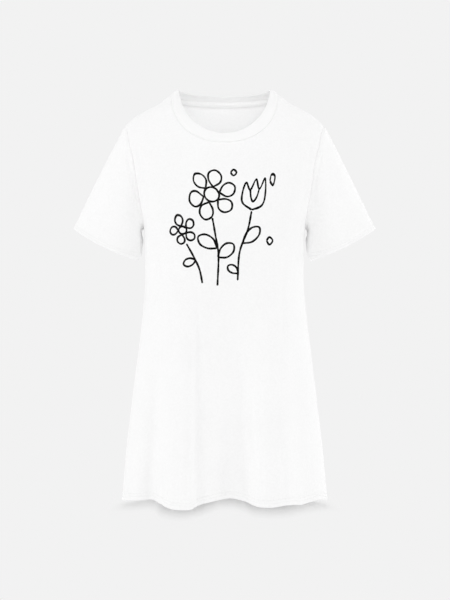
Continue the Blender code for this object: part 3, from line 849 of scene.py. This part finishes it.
def cotton_jersey(name, light, dark):
    """Combed cotton single jersey, bleached white and matt: fine V-shaped stitches in upright wales, a
    soft fuzz that catches light at the rim, and yarn that is not quite even."""
    material, tree, surface = new_material(name, **BLEACHED_COTTON)
    place = add_node(tree, "ShaderNodeTexCoord")
    slub = add_node(tree, "ShaderNodeTexNoise",
                    {"Vector": place.outputs["Object"], "Scale": 260.0, "Detail": 3.0, "Roughness": 0.6})
    cloud = add_node(tree, "ShaderNodeTexNoise",
                     {"Vector": place.outputs["Object"], "Scale": 14.0, "Detail": 2.0})
    mixed = add_node(tree, "ShaderNodeMath", {0: cloud.outputs["Fac"], 1: 0.3, 2: slub.outputs["Fac"]},
                     operation="MULTIPLY_ADD")
    spread = add_node(tree, "ShaderNodeMapRange",
                      {"Value": mixed.outputs[0], "From Min": 0.45, "From Max": 0.85})
    tone = add_node(tree, "ShaderNodeMix", {"Factor": spread.outputs["Result"], 6: colour(dark),
                                            7: colour(light)}, data_type="RGBA")
    tree.links.new(tone.outputs[2], surface.inputs["Base Color"])
    knit = add_node(tree, "ShaderNodeBump",
                    {"Height": knit_height(tree, JERSEY_WALE), "Strength": 0.35, "Distance": 0.00012})
    tree.links.new(knit.outputs["Normal"], surface.inputs["Normal"])
    return material


def cotton_rib():
    """Cotton 1x1 rib with a little elastane, folded double: ridges that stand across the band, about
    2.2 mm apart, each one a column of plain stitches with a hollow beside it. Each hollow is also
    painted a little darker: painted shade."""
    material, tree, surface = new_material("white_cotton_rib_1x1", **BLEACHED_COTTON)
    place = add_node(tree, "ShaderNodeUVMap", uv_map="cloth")
    split = add_node(tree, "ShaderNodeSeparateXYZ", {0: place.outputs["UV"]})
    turn = add_node(tree, "ShaderNodeMath", {0: split.outputs["X"], 1: 2 * np.pi / RIB_WALE},
                    operation="MULTIPLY")
    wave = add_node(tree, "ShaderNodeMath", {0: turn.outputs[0]}, operation="COSINE")
    knit = knit_height(tree, RIB_WALE)
    height = add_node(tree, "ShaderNodeMath", {0: knit, 1: 0.3, 2: wave.outputs[0]},
                      operation="MULTIPLY_ADD")
    # Painted shade: the colour follows the rib's wave and is darker in each hollow, where shade would fall.
    painted_hollow_shade = add_node(tree, "ShaderNodeMapRange",
                     {"Value": wave.outputs[0], "From Min": -1.0, "From Max": 0.4})
    tone = add_node(tree, "ShaderNodeMix", {"Factor": painted_hollow_shade.outputs["Result"], 6: colour("#F7F7F7"),
                                            7: colour("#FDFDFD")}, data_type="RGBA")
    tree.links.new(tone.outputs[2], surface.inputs["Base Color"])
    bump = add_node(tree, "ShaderNodeBump",
                    {"Height": height.outputs[0], "Strength": 0.5, "Distance": 0.00025})
    tree.links.new(bump.outputs["Normal"], surface.inputs["Normal"])
    return material


def sewing_thread():
    """Spun polyester sewing thread, bleached: smoother than the cotton round it, with a faint gloss, and
    a fine two-ply twist that runs round each stitch. The twist is painted as darker and lighter bands;
    the darker bands are painted shade between the plies."""
    material, tree, surface = new_material("white_polyester_thread", Roughness=0.55,
                                           Specular_IOR_Level=0.4)
    place = add_node(tree, "ShaderNodeTexCoord")
    # Painted shade: the twist is drawn in colour only, darker where the plies meet.
    painted_twist_shade = add_node(tree, "ShaderNodeTexWave",
                     {"Vector": place.outputs["Object"], "Scale": 900.0, "Distortion": 1.0},
                     bands_direction="DIAGONAL")
    tone = add_node(tree, "ShaderNodeMix", {"Factor": painted_twist_shade.outputs["Fac"], 6: colour("#E9E9E8"),
                                            7: colour("#F7F7F7")}, data_type="RGBA")
    tree.links.new(tone.outputs[2], surface.inputs["Base Color"])
    return material


def print_ink():
    """Black screen-printing ink on knit: a matt film a little broken up by the stitches under it, so
    that its black varies slightly."""
    material, tree, surface = new_material("black_screen_print_ink", Roughness=0.75,
                                           Specular_IOR_Level=0.08)
    place = add_node(tree, "ShaderNodeTexCoord")
    grain = add_node(tree, "ShaderNodeTexNoise",
                     {"Vector": place.outputs["Object"], "Scale": 700.0, "Detail": 2.0})
    tone = add_node(tree, "ShaderNodeMix", {"Factor": grain.outputs["Fac"], 6: colour("#060606"),
                                            7: colour("#121212")}, data_type="RGBA")
    tree.links.new(tone.outputs[2], surface.inputs["Base Color"])
    bump = add_node(tree, "ShaderNodeBump",
                    {"Height": grain.outputs["Fac"], "Strength": 0.3, "Distance": 0.00008})
    tree.links.new(bump.outputs["Normal"], surface.inputs["Normal"])
    return material


def lay_out(points, closed, middle=0, straight=False):
    """A UV map in millimetres: across along each row from its middle, and up along each column. In a
    strip that is cut straight and then bent, every row counts as long as the middle one."""
    if closed:
        points = np.concatenate([points, points[:, :1]], axis=1)
    across = arc_from(points, 1)
    across = across - across[:, middle : middle + 1]
    if straight:
        across = np.broadcast_to(across[len(across) // 2], across.shape)
    return np.stack([across, arc_from(points, 0)], axis=-1)


def cut_panel(side, columns):
    """The front or back panel, its columns from left to right for someone who looks at it."""
    points = panel_grid(side, columns)
    if side == BACK:
        points = points[:, ::-1]
    return Cloth(PANEL_NAMES[side], points, False)


def cut_sleeve(hand, front, back):
    """A sleeve, its columns turned so that either sleeve faces outwards. It keeps each column's share
    of the way up the armhole, and the side that the column is on."""
    points, share, side = sleeve_grid(hand, front, back)
    if hand == RIGHT:
        points, share, side = points[:, ::-1], share[::-1], side[::-1]
    cloth = Cloth(SLEEVE_NAMES[hand], points, True)
    cloth.share = share
    cloth.side = side
    return cloth


def crease_panel(cloth, creases):
    """Lay the creases into a panel. They and the waver fade away at its seams."""
    x, z = cloth.points[:, :, 0], cloth.points[:, :, 2]
    beside = np.minimum(arc_from(cloth.points, 1), arc_from(cloth.points, 1, last=True))
    below = arc_from(cloth.points, 0, last=True)
    free = ease(beside / STILL_BESIDE_SEAM) * ease(below / STILL_BELOW_NECK)
    waver = unevenness(x, z, WAVER_SEEDS[cloth.name])
    cloth.move_out((waver - crease_depth(creases, x, z)) * free)


def crease_sleeve(cloth):
    """Lay the creases into a sleeve, and raise the low roll of its head."""
    round_way = np.where(cloth.side == FRONT, cloth.share / 2, 1 - cloth.share / 2)
    across = np.broadcast_to(round_way, cloth.points.shape[:2])
    arc = arc_from(cloth.points, 0)
    scale = {"round": SLEEVE_GIRTH, "down": SLEEVE_LENGTH}
    creases = {name: column * scale.get(name.rstrip("12"), 1.0) for name, column in SLEEVE_CREASES.items()}
    depth = crease_depth(creases, across * SLEEVE_GIRTH, arc / arc[-1] * SLEEVE_LENGTH)
    stretched = cloth.points[:, :, 1] * SLEEVE_WAVER_STRETCH
    waver = unevenness(stretched, cloth.points[:, :, 2], WAVER_SEEDS[cloth.name])
    roll = ROLL_HEIGHT * np.exp(-(((arc - ROLL_PLACE) / ROLL_REACH) ** 2)) * ease(arc / ROLL_START)
    roll = roll * ease((cloth.share - ROLL_BEGINS) / ROLL_FADE)
    cloth.move_out(roll + (waver - depth) * ease(arc / STILL_BESIDE_SEAM))


def stitch_places(points, closed):
    """Evenly spaced places along a line of points, one pitch apart: the point before each, and the
    share of the way to the next."""
    if closed:
        points = np.concatenate([points, points[:1]])
    length = arc_from(points, 0)
    count = int(round(length[-1] / STITCH_PITCH))
    at = (np.arange(count) + 0.5) * length[-1] / count
    before = np.clip(np.searchsorted(length, at) - 1, 0, len(points) - 2)
    return before, (at - length[before]) / (length[before + 1] - length[before])


def one_stitch():
    """One stitch of thread: a small bead drawn out long and pressed low."""
    bpy.ops.object.select_all(action="DESELECT")
    bpy.ops.mesh.primitive_uv_sphere_add(segments=6, ring_count=4, radius=1.0,
                                         rotation=(0.0, QUARTER, 0.0))
    bead = bpy.context.object
    bpy.ops.object.transform_apply(location=False, rotation=True, scale=False)
    bpy.ops.object.mode_set(mode="EDIT")
    bpy.ops.mesh.select_all(action="SELECT")
    bpy.ops.transform.resize(value=(STITCH_LENGTH / 2, STITCH_WIDTH / 2, STITCH_HEIGHT / 2))
    bpy.ops.object.mode_set(mode="OBJECT")
    points = np.array([tuple(vertex.co) for vertex in bead.data.vertices])
    # Sorted, because the order in which the operator makes its faces differs from run to run.
    faces = sorted(tuple(face.vertices) for face in bead.data.polygons)
    bpy.data.objects.remove(bead, do_unlink=True)
    return points, faces


def add_stitches(name, lines, material, closed=True):
    """Rows of stitches joined into one piece. Each line is its points and their directions out."""
    shape, shape_faces = one_stitch()
    points, faces = [], []
    for line, normals in lines:
        before, share = stitch_places(line, closed)
        after = (before + 1) % len(line)
        share = share[:, None]
        centre = line[before] * (1 - share) + line[after] * share
        out = unit(normals[before] * (1 - share) + normals[after] * share)
        along = unit(line[after] - line[before])
        along = unit(along - out * (along * out).sum(axis=1)[:, None])
        beside = np.cross(out, along)
        for c, n, a, b in zip(centre, out, along, beside):
            start = len(points) * len(shape)
            points.append(c + n * STITCH_LIFT + shape[:, :1] * a + shape[:, 1:2] * b + shape[:, 2:] * n)
            faces += [tuple(v + start for v in face) for face in shape_faces]
    return add_mesh(name, np.concatenate(points), faces, None, material)


# The chest print: a loose posy in a hand-drawn line, in millimetres from the print's middle. It is laid
# on the front cloth along the cloth itself, as a screen would lay it.
PRINT_MIDDLE_HEIGHT = -285.0
PRINT_LINE = 4.1
PRINT_STEP = 1.6
# Across a line of ink: shares of its half width, and heights over the cloth. Its rims sink into the knit.
PRINT_SECTION = ((-1, -0.22), (-0.92, 0.16), (-0.3, 0.21), (0.3, 0.21), (0.92, 0.16), (1, -0.22))
PRINT_END_ROWS = (0.25, 0.8)
PRINT_END_SHARE = np.sqrt(0.02)
# The unevenness of the hand: a ring's ends overlap and its size drifts, petals lean by a few degrees and
# differ in length, and the pen presses more here and there, by shares of the line's width.
RING_TURN, RING_POINTS = 2.12 * np.pi, 14
RING_DRIFT = 0.05
PETAL_LEAN = 4
PETAL_UNEVENNESS = 0.07
PEN_SWELL, PEN_SWELL_WAVES = 0.10, 0.23
PEN_TREMBLE, PEN_TREMBLE_WAVES = 0.05, 0.61


def curve_through(points):
    """A smooth line through a few points, with steps of about one print step."""
    points = np.array(points, float)
    padded = np.concatenate([2 * points[:1] - points[1:2], points, 2 * points[-1:] - points[-2:-1]])
    line = []
    for a, b, c, d in zip(padded[:-3], padded[1:-2], padded[2:-1], padded[3:]):
        count = max(int(np.linalg.norm(c - b) / PRINT_STEP), 2)
        t = np.arange(count)[:, None] / count
        line.append(0.5 * (2 * b + (c - a) * t + (2 * a - 5 * b + 4 * c - d) * t**2
                           + (3 * b - 3 * c + d - a) * t**3))
    line.append(padded[-2:-1])
    return np.concatenate(line)


def petal(x, y, turn, length, width):
    """A petal or leaf outline that starts and ends at one place."""
    shape = np.array([(0, 0), (0.35, 0.42), (0.75, 0.48), (1.0, 0.06), (0.78, -0.42), (0.36, -0.46), (0, 0)])
    shape = shape * (length, width)
    spin = np.radians(turn)
    matrix = np.array([[np.cos(spin), np.sin(spin)], [-np.sin(spin), np.cos(spin)]])
    return curve_through(shape @ matrix + (x, y))


def ring(x, y, across, up, turn=0.0):
    """A hand-drawn ring, a little overlapped where the pen comes round."""
    angle = np.radians(turn) + np.linspace(0.0, RING_TURN, RING_POINTS)
    drift = 1 + RING_DRIFT * np.sin(angle * 1.5 + x)
    return curve_through(np.stack([x + across * np.cos(angle) * drift, y + up * np.sin(angle) * drift], 1))


def blossom(x, y, eye, petals, turn, length, width):
    """An open flower: its eye and its round petals."""
    strokes = [ring(x, y, eye, eye * 0.94, turn)]
    for number in range(petals):
        way = turn + 360 * number / petals + PETAL_LEAN * np.sin(2.7 * number)
        spin = np.radians(way)
        start = (x + eye * 1.1 * np.cos(spin), y + eye * 1.05 * np.sin(spin))
        drawn = length * (1 + PETAL_UNEVENNESS * np.sin(1.9 * number))
        strokes.append(petal(*start, way, drawn, width))
    return strokes


def tulip(x, y, size, turn):
    """A tulip seen from the side, its stem end at the place given."""
    cup = [(0, 0), (-0.42, 0.22), (-0.5, 0.62), (-0.42, 1.0), (-0.2, 0.72), (0.0, 1.08), (0.2, 0.72),
           (0.44, 1.02), (0.5, 0.6), (0.4, 0.2), (0, 0)]
    inner = [(-0.2, 0.74), (-0.12, 0.45), (0.0, 0.3), (0.13, 0.47), (0.2, 0.74)]
    spin = np.radians(turn)
    matrix = np.array([[np.cos(spin), -np.sin(spin)], [np.sin(spin), np.cos(spin)]]) * size
    return [curve_through(np.array(line) @ matrix + (x, y)) for line in (cup, inner)]


def print_strokes():
    """Every stroke of the print."""
    strokes = []
    strokes += blossom(-26, 62, 15, 6, 18, 33, 27)
    strokes += blossom(-84, -8, 8, 5, 40, 19, 16)
    strokes += tulip(54, 30, 50, 12)
    strokes += [curve_through([(-24, 16), (-18, -18), (-12, -58), (-14, -118)])]
    strokes += [curve_through([(-76, -34), (-62, -58), (-50, -84), (-44, -112)])]
    strokes += [curve_through([(54, 28), (46, -8), (30, -52), (26, -108)])]
    strokes += [petal(-15, -44, 146, 44, 24), petal(-13, -62, 38, 40, 24)]
    strokes += [petal(36, -34, 42, 46, 22), petal(-57, -66, 196, 26, 15), petal(27, -94, 142, 25, 15)]
    strokes += [curve_through([(97, 66), (103, 74), (111, 68), (103, 58), (97, 66)])]
    strokes += [curve_through([(12, 108), (18, 114), (24, 107), (18, 101), (12, 108)])]
    strokes += [curve_through([(84, -28), (90, -21), (97, -28), (90, -36), (84, -28)])]
    return strokes


def on_cloth(cloth, middle, places):
    """The points of the outer face, and the directions out, at places measured along the cloth: across
    from the middle column and up from the print's middle."""
    heights = cloth.outer[:, middle, 2]
    start = int(np.argmin(np.abs(heights - PRINT_MIDDLE_HEIGHT)))
    across = arc_from(cloth.outer, 1)
    across = across - across[:, middle : middle + 1]
    up = arc_from(cloth.outer, 0)[:, middle]
    up = up - up[start]
    row = np.interp(places[:, 1], up, np.arange(len(up)))
    low = np.clip(row.astype(int), 0, len(up) - 2)
    share = (row - low)[:, None]
    found = []
    for grid in (cloth.outer, cloth.normals):
        lines = []
        for r in (low, low + 1):
            column = np.array([np.interp(x, across[i], np.arange(across.shape[1]))
                               for x, i in zip(places[:, 0], r)])
            left = np.clip(column.astype(int), 0, across.shape[1] - 2)
            part = (column - left)[:, None]
            lines.append(grid[r, left] * (1 - part) + grid[r, left + 1] * part)
        found.append(lines[0] * (1 - share) + lines[1] * share)
    return found[0], unit(found[1])


def add_print(cloth, material):
    """The print as a thin film of ink on the cloth: each stroke a ribbon with round ends."""
    middle = cloth.points.shape[1] // 2
    points, faces = [], []
    count = 0
    for number, line in enumerate(print_strokes()):
        gone = arc_from(line, 0)
        steps = max(int(gone[-1] / PRINT_STEP), 4)
        at = np.linspace(0.0, gone[-1], steps + 1)
        at = np.unique([*at, *PRINT_END_ROWS, *(gone[-1] - row for row in PRINT_END_ROWS)])
        centre = np.stack([np.interp(at, gone, line[:, i]) for i in (0, 1)], axis=1)
        way = unit(np.gradient(centre, axis=0))
        beside = np.stack([way[:, 1], -way[:, 0]], axis=1)
        pen = 1 + PEN_SWELL * np.sin(at * PEN_SWELL_WAVES + number)
        pen = pen + PEN_TREMBLE * np.sin(at * PEN_TREMBLE_WAVES)
        from_end = np.minimum(at, gone[-1] - at)
        blunt = np.maximum(round_edge(from_end / (PRINT_LINE / 2)), PRINT_END_SHARE)
        half = PRINT_LINE / 2 * pen * blunt
        section = []
        for share, film in PRINT_SECTION:
            place, out = on_cloth(cloth, middle, centre + beside * (half * share)[:, None])
            section.append(place + out * film)
        section = np.stack(section, axis=1)
        rows, width = section.shape[:2]
        number_of = count + np.arange(rows * width).reshape(rows, width)
        wrap = np.concatenate([number_of, number_of[:, :1]], axis=1)
        quads = np.stack([wrap[:-1, :-1], wrap[:-1, 1:], wrap[1:, 1:], wrap[1:, :-1]], axis=-1)
        faces += [tuple(quad) for quad in quads.reshape(-1, 4).tolist()]
        faces += [tuple(number_of[0, ::-1].tolist()), tuple(number_of[-1].tolist())]
        points.append(section.reshape(-1, 3))
        count += rows * width
    return add_mesh("chest_print", np.concatenate(points), faces, None, material, sharp=40)


PANEL_SEAMS = ("first_column", "last_column", "last_row")


def sew_panel(cloth, material):
    """Finish a panel: grooves at its seams, channels in its hem, and its wall."""
    for edge in PANEL_SEAMS:
        cloth.refine_edge(edge)
    beside = np.minimum(arc_from(cloth.points, 1), arc_from(cloth.points, 1, last=True))
    from_seam = np.minimum(beside, arc_from(cloth.points, 0, last=True))
    height = arc_from(cloth.points, 0)
    cloth.move_out(-dip(from_seam) - stitch_channel(height))
    for edge in PANEL_SEAMS:
        cloth.draw_back(edge)
    uv = lay_out(cloth.points, False, cloth.points.shape[1] // 2)
    return add_wall(cloth, hem_profile(height) * edge_thinning(from_seam), uv, material)


def sew_sleeve(cloth, material):
    """Finish a sleeve: a groove round its armhole, channels in its hem, and its wall."""
    cloth.refine_edge("first_row")
    from_seam = arc_from(cloth.points, 0)
    height = arc_from(cloth.points, 0, last=True)
    cloth.move_out(-dip(from_seam) - stitch_channel(height))
    cloth.draw_back("first_row")
    uv = lay_out(cloth.points, True, int(np.argmax(cloth.share)))
    return add_wall(cloth, hem_profile(height) * edge_thinning(from_seam), uv, material)


def sew_neckband(cloth, material):
    """Finish the neckband: a groove at its seam, and a round folded edge."""
    cloth.refine_edge("first_row")
    from_seam = arc_from(cloth.points, 0)
    from_fold = arc_from(cloth.points, 0, last=True)
    cloth.move_out(-dip(from_seam))
    fold = round_edge(np.maximum(from_fold / (RIB_WALL / 2), RIB_FOLD_START))
    cloth.draw_back("first_row")
    uv = lay_out(cloth.points, True, straight=True)
    return add_wall(cloth, RIB_WALL / 2 * edge_thinning(from_seam) * fold, uv, material)


def sew_tape(cloth, material):
    """Finish the tape, which has the same thin wall all over."""
    half = np.full(cloth.points.shape[:2], TAPE_WALL / 2)
    return add_wall(cloth, half, lay_out(cloth.points, False), material)


def add_all_stitches(front, back, sleeves, tape, thread):
    """The twin-needle rows round the bottom hem and both sleeve hems, and the rows along the tape."""
    hem_lines = []
    for height in HEM_STITCH_HEIGHTS:
        row = HEM_ROWS.index(height)
        hem_lines.append((np.concatenate([front.outer[row], back.outer[row]]),
                          np.concatenate([front.normals[row], back.normals[row]])))
    stitches = [add_stitches("hem_stitches", hem_lines, thread)]
    for hand, cloth in sleeves.items():
        rows = [-1 - HEM_ROWS.index(height) for height in HEM_STITCH_HEIGHTS]
        lines = [(cloth.outer[row], cloth.normals[row]) for row in rows]
        stitches.append(add_stitches(CUFF_STITCH_NAMES[hand], lines, thread))
    tape_lines = [(tape.inner[row, 2:-2], -tape.normals[row, 2:-2]) for row in (1, -2)]
    stitches.append(add_stitches("neck_tape_stitches", tape_lines, thread, closed=False))
    return stitches


def build_garment():
    """All the cloth, its stitches and its print, each piece by its name."""
    front = cut_panel(FRONT, FRONT_COLUMNS)
    back = cut_panel(BACK, BACK_COLUMNS)
    back_from_left = back.points[:, ::-1]
    sleeves = {hand: cut_sleeve(hand, front.points, back_from_left) for hand in (LEFT, RIGHT)}
    band = Cloth("neckband_rib", band_grid(front.points, back_from_left), True)
    tape = Cloth("neck_tape_twill", tape_grid(back_from_left, band.points)[:, ::-1], False)

    crease_panel(front, FRONT_CREASES)
    crease_panel(back, BACK_CREASES)
    for cloth in sleeves.values():
        crease_sleeve(cloth)
    pieces = [front, back, *sleeves.values(), band]
    for cloth in pieces:
        cloth.normals = grid_normals(cloth.points, cloth.closed)
    share_normals(pieces)

    white = cotton_jersey("white_cotton_jersey", "#FAFAFA", "#F6F6F6")
    # Painted shade: the tape is the same white jersey, drawn darker for the shade inside the back of the
    # neck.
    tape_jersey_painted_shade = cotton_jersey("white_cotton_neck_tape_painted_shade", "#EFEFEF", "#E9E9E9")
    made = [sew_panel(cloth, white) for cloth in (front, back)]
    made += [sew_sleeve(cloth, white) for cloth in sleeves.values()]
    made += [sew_neckband(band, cotton_rib()), sew_tape(tape, tape_jersey_painted_shade)]
    made += add_all_stitches(front, back, sleeves, tape, sewing_thread())
    made += [add_print(front, print_ink())]
    return {thing.name: thing for thing in made}


def declare():
    """Hide the CAD part of the node that each piece stands for."""
    nodes = {
        "front_cloth": "front_panel",
        "back_cloth": "back_panel",
        "sleeve_left_cloth": "sleeve_left",
        "sleeve_right_cloth": "sleeve_right",
        "neckband_rib": "neckband",
        "neck_tape_twill": "neck_tape",
    }
    for name, node in nodes.items():
        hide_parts(node)


FLOOR_HEIGHT = -0.8605
FLOOR_RADIUS = 3.0
PAPER = "#F2F2F2"

# The shadow on the floor is darkest along a line that waves as the front's hem does: how far back that
# line is, place by place, in millimetres. It fades in front of the line, past both sides of the hem, and
# behind it, over the reaches below. The line and these fades are a mask on the paper, so the shadow's
# shape is painted shadow over the lamp's real one.
SHADOW_EDGE = table(
    "place back",
    (-250, 80),
    (-214, 80),
    (-185, 87),
    (-156, 100),
    (-139, 70),
    (-125, 2),
    (-104, -22),
    (-85, -35),
    (-69, -20),
    (-52, 8),
    (-27, 67),
    (2, 107),
    (31, 87),
    (48, 50),
    (64, 9),
    (104, -4),
    (146, 28),
    (181, 67),
    (210, 80),
    (250, 80),
)
SHADOW_SPAN = (-250.0, 250.0)
SHADOW_BACK_SPAN = (-50.0, 150.0)
SHADOW_REACH = 160.0
SHADOW_FADE_BESIDE = (190.0, 240.0)
SHADOW_FADE_BEHIND = (110.0, 200.0)
SHADOW_DEPTH = 0.74
SHADOW_CURVE = 1.45


def matt_paper():
    """A roll of matt white paper. Away from the hem it glows evenly in the room's own tone, so that
    floor and room are one; under the hem it is plain paper, and takes the lamp's shadow. A mask sets
    where that shadow shows and how it fades, so its outline is painted shadow."""
    material, tree, paper = new_material("matt_white_paper", Roughness=1.0, Specular_IOR_Level=0.0,
                                         Base_Color=colour("#EFEFEF"))
    glow = add_node(tree, "ShaderNodeEmission", {"Color": colour(PAPER), "Strength": 1.0})
    place = add_node(tree, "ShaderNodeTexCoord")
    split = add_node(tree, "ShaderNodeSeparateXYZ", {0: place.outputs["Object"]})
    off = add_node(tree, "ShaderNodeMath", {0: split.outputs["X"]}, operation="ABSOLUTE")
    start, end = np.multiply(SHADOW_FADE_BESIDE, MM)
    beside = add_node(tree, "ShaderNodeMapRange",
                      {"Value": off.outputs[0], "From Min": start, "From Max": end},
                      interpolation_type="SMOOTHSTEP")
    start, end = np.multiply(SHADOW_FADE_BEHIND, MM)
    behind = add_node(tree, "ShaderNodeMapRange",
                      {"Value": split.outputs["Y"], "From Min": start, "From Max": end},
                      interpolation_type="SMOOTHSTEP")
    start, end = np.multiply(SHADOW_SPAN, MM)
    along = add_node(tree, "ShaderNodeMapRange",
                     {"Value": split.outputs["X"], "From Min": start, "From Max": end})
    wave = add_node(tree, "ShaderNodeFloatCurve", {"Value": along.outputs["Result"]})
    x = (SHADOW_EDGE["place"] - SHADOW_SPAN[0]) / np.ptp(SHADOW_SPAN)
    back = (SHADOW_EDGE["back"] - SHADOW_BACK_SPAN[0]) / np.ptp(SHADOW_BACK_SPAN)
    line = wave.mapping.curves[0].points
    line[0].location = (x[0], back[0])
    line[1].location = (x[-1], back[-1])
    for point in zip(x[1:-1], back[1:-1]):
        line.new(*point)
    wave.mapping.update()
    start, end = np.multiply(SHADOW_BACK_SPAN, MM)
    edge = add_node(tree, "ShaderNodeMapRange",
                    {"Value": wave.outputs["Value"], "To Min": start, "To Max": end})
    # Painted shadow: from the given line the mask fades out in front over SHADOW_REACH; where it is darkest,
    # most of the shaded paper shows through the glow.
    ahead = add_node(tree, "ShaderNodeMath", {0: edge.outputs["Result"], 1: split.outputs["Y"]},
                     operation="SUBTRACT")
    near = add_node(tree, "ShaderNodeMapRange",
                    {"Value": ahead.outputs[0], "From Min": 0.0, "From Max": SHADOW_REACH * MM,
                     "To Min": 1.0, "To Max": 0.0})
    dark = add_node(tree, "ShaderNodeMath", {0: near.outputs["Result"], 1: SHADOW_CURVE},
                    operation="POWER")
    before = add_node(tree, "ShaderNodeMath", {0: dark.outputs[0], 1: -SHADOW_DEPTH, 2: 1.0},
                      operation="MULTIPLY_ADD")
    away = add_node(tree, "ShaderNodeMath",
                    {0: beside.outputs["Result"], 1: behind.outputs["Result"]}, operation="MAXIMUM")
    away = add_node(tree, "ShaderNodeMath", {0: away.outputs[0], 1: before.outputs[0]},
                    operation="MAXIMUM")
    mix = add_node(tree, "ShaderNodeMixShader",
                   {0: away.outputs[0], 1: paper.outputs[0], 2: glow.outputs[0]})
    tree.links.new(mix.outputs[0], tree.nodes["Material Output"].inputs["Surface"])
    return material


def pale_room():
    """An even pale room with a paper floor close under the hem. Gives the floor."""
    scene = bpy.context.scene
    scene.view_settings.view_transform = "Standard"
    world = bpy.data.worlds.new("pale_room")
    scene.world = world
    world.use_nodes = True
    background = world.node_tree.nodes["Background"]
    background.inputs["Color"].default_value = colour(PAPER)
    background.inputs["Strength"].default_value = 1.0

    bpy.ops.object.select_all(action="DESELECT")
    bpy.ops.mesh.primitive_circle_add(vertices=96, radius=FLOOR_RADIUS, fill_type="NGON",
                                      location=(0.0, 0.0, FLOOR_HEIGHT))
    floor = bpy.context.object
    floor.name = "studio_floor"
    bpy.ops.object.transform_apply(location=True, rotation=False, scale=False)
    floor.data.materials.append(matt_paper())
    floor.visible_diffuse = False
    return floor


def lit_groups(made, floor):
    """The pieces that a lamp lights, or that throw its shadows, as named collections."""
    sleeves = [thing for name, thing in made.items() if name.startswith(("sleeve", "cuff"))]
    inside = [made["back_cloth"], made["neck_tape_twill"], made["neck_tape_stitches"]]
    groups = {
        "floor_alone": [floor],
        "garment_alone": made.values(),
        "body": [thing for thing in made.values() if thing not in sleeves],
        "sleeves": sleeves,
        "inside_of_the_back": inside,
        "inside_of_the_neck": [*inside, made["neckband_rib"]],
        "left_sleeve": [made["sleeve_left_cloth"], made["cuff_stitches_left"]],
        "right_sleeve": [made["sleeve_right_cloth"], made["cuff_stitches_right"]],
    }
    lit = {}
    for name, things in groups.items():
        lit[name] = bpy.data.collections.new(name)
        for thing in things:
            lit[name].objects.link(thing)
    return lit


LEFT_SOFTBOX = (76, 0, -67)
RIGHT_SOFTBOX = (74, 0, 65)
# Wide soft lamps far away: strength, how wide each looks and how it is turned, in degrees, what it
# lights, and what alone throws its shadows (otherwise all does).
SOFTBOXES = (
    ("left_softbox_on_the_sleeves", 0.47, 36, LEFT_SOFTBOX, "sleeves", None),
    ("left_softbox_on_the_body", 0.175, 36, LEFT_SOFTBOX, "body", None),
    ("left_softbox_past_the_sleeve", 0.25, 36, LEFT_SOFTBOX, "body", "body"),
    ("right_softbox_on_the_sleeves", 0.41, 36, RIGHT_SOFTBOX, "sleeves", None),
    ("right_softbox_on_the_body", 0.11, 36, RIGHT_SOFTBOX, "body", None),
    ("right_softbox_past_the_sleeve", 0.25, 36, RIGHT_SOFTBOX, "body", "body"),
    ("low_softbox", 0.115, 60, (114, 0, 0), "garment_alone", None),
    ("left_back_softbox", 0.18, 36, (76, 0, -170), "garment_alone", None),
    ("right_back_softbox", 0.25, 30, (74, 0, 131), "garment_alone", None),
    ("floor_softbox", 0.45, 20, (-8, 0, 0), "floor_alone", None),
    ("neck_softbox", 0.64, 24, (86, 0, 0), "inside_of_the_back", None),
    ("left_sleeve_fill", 0.17, 30, (98, 0, 78), "left_sleeve", "left_sleeve"),
    ("right_sleeve_fill", 0.17, 30, (98, 0, -78), "right_sleeve", "right_sleeve"),
)


def hang_lamps(lit):
    """Soft light from both sides, from below and from behind, and a small bulb inside the neck."""
    collection = bpy.context.scene.collection
    for name, energy, angle, turn, lights, shaded_by in SOFTBOXES:
        light = bpy.data.lights.new(name, "SUN")
        light.energy = energy
        light.angle = np.radians(angle)
        lamp = bpy.data.objects.new(name, light)
        lamp.rotation_euler = np.radians(turn)
        collection.objects.link(lamp)
        lamp.light_linking.receiver_collection = lit[lights]
        if shaded_by:
            lamp.light_linking.blocker_collection = lit[shaded_by]
    light = bpy.data.lights.new("bulb_in_the_neck", "POINT")
    light.energy = 0.16
    light.shadow_soft_size = 0.04
    lamp = bpy.data.objects.new("bulb_in_the_neck", light)
    lamp.location = (0.0, -0.05, -0.12)
    lamp.visible_camera = False
    collection.objects.link(lamp)
    lamp.light_linking.receiver_collection = lit["inside_of_the_neck"]


CAMERA_PLACE = (0.001, -2.6, -0.4306)


def set_camera():
    """A camera level with the middle of the dress, and straight in front of it."""
    scene = bpy.context.scene
    lens = bpy.data.cameras.new("camera")
    lens.sensor_fit = "VERTICAL"
    lens.sensor_height = 24.0
    lens.lens = 50.0
    camera = bpy.data.objects.new("camera", lens)
    camera.location = CAMERA_PLACE
    camera.rotation_euler = (QUARTER, 0.0, 0.0)
    scene.collection.objects.link(camera)
    scene.camera = camera


garment = build_garment()
declare()
hang_lamps(lit_groups(garment, pale_room()))
set_camera()
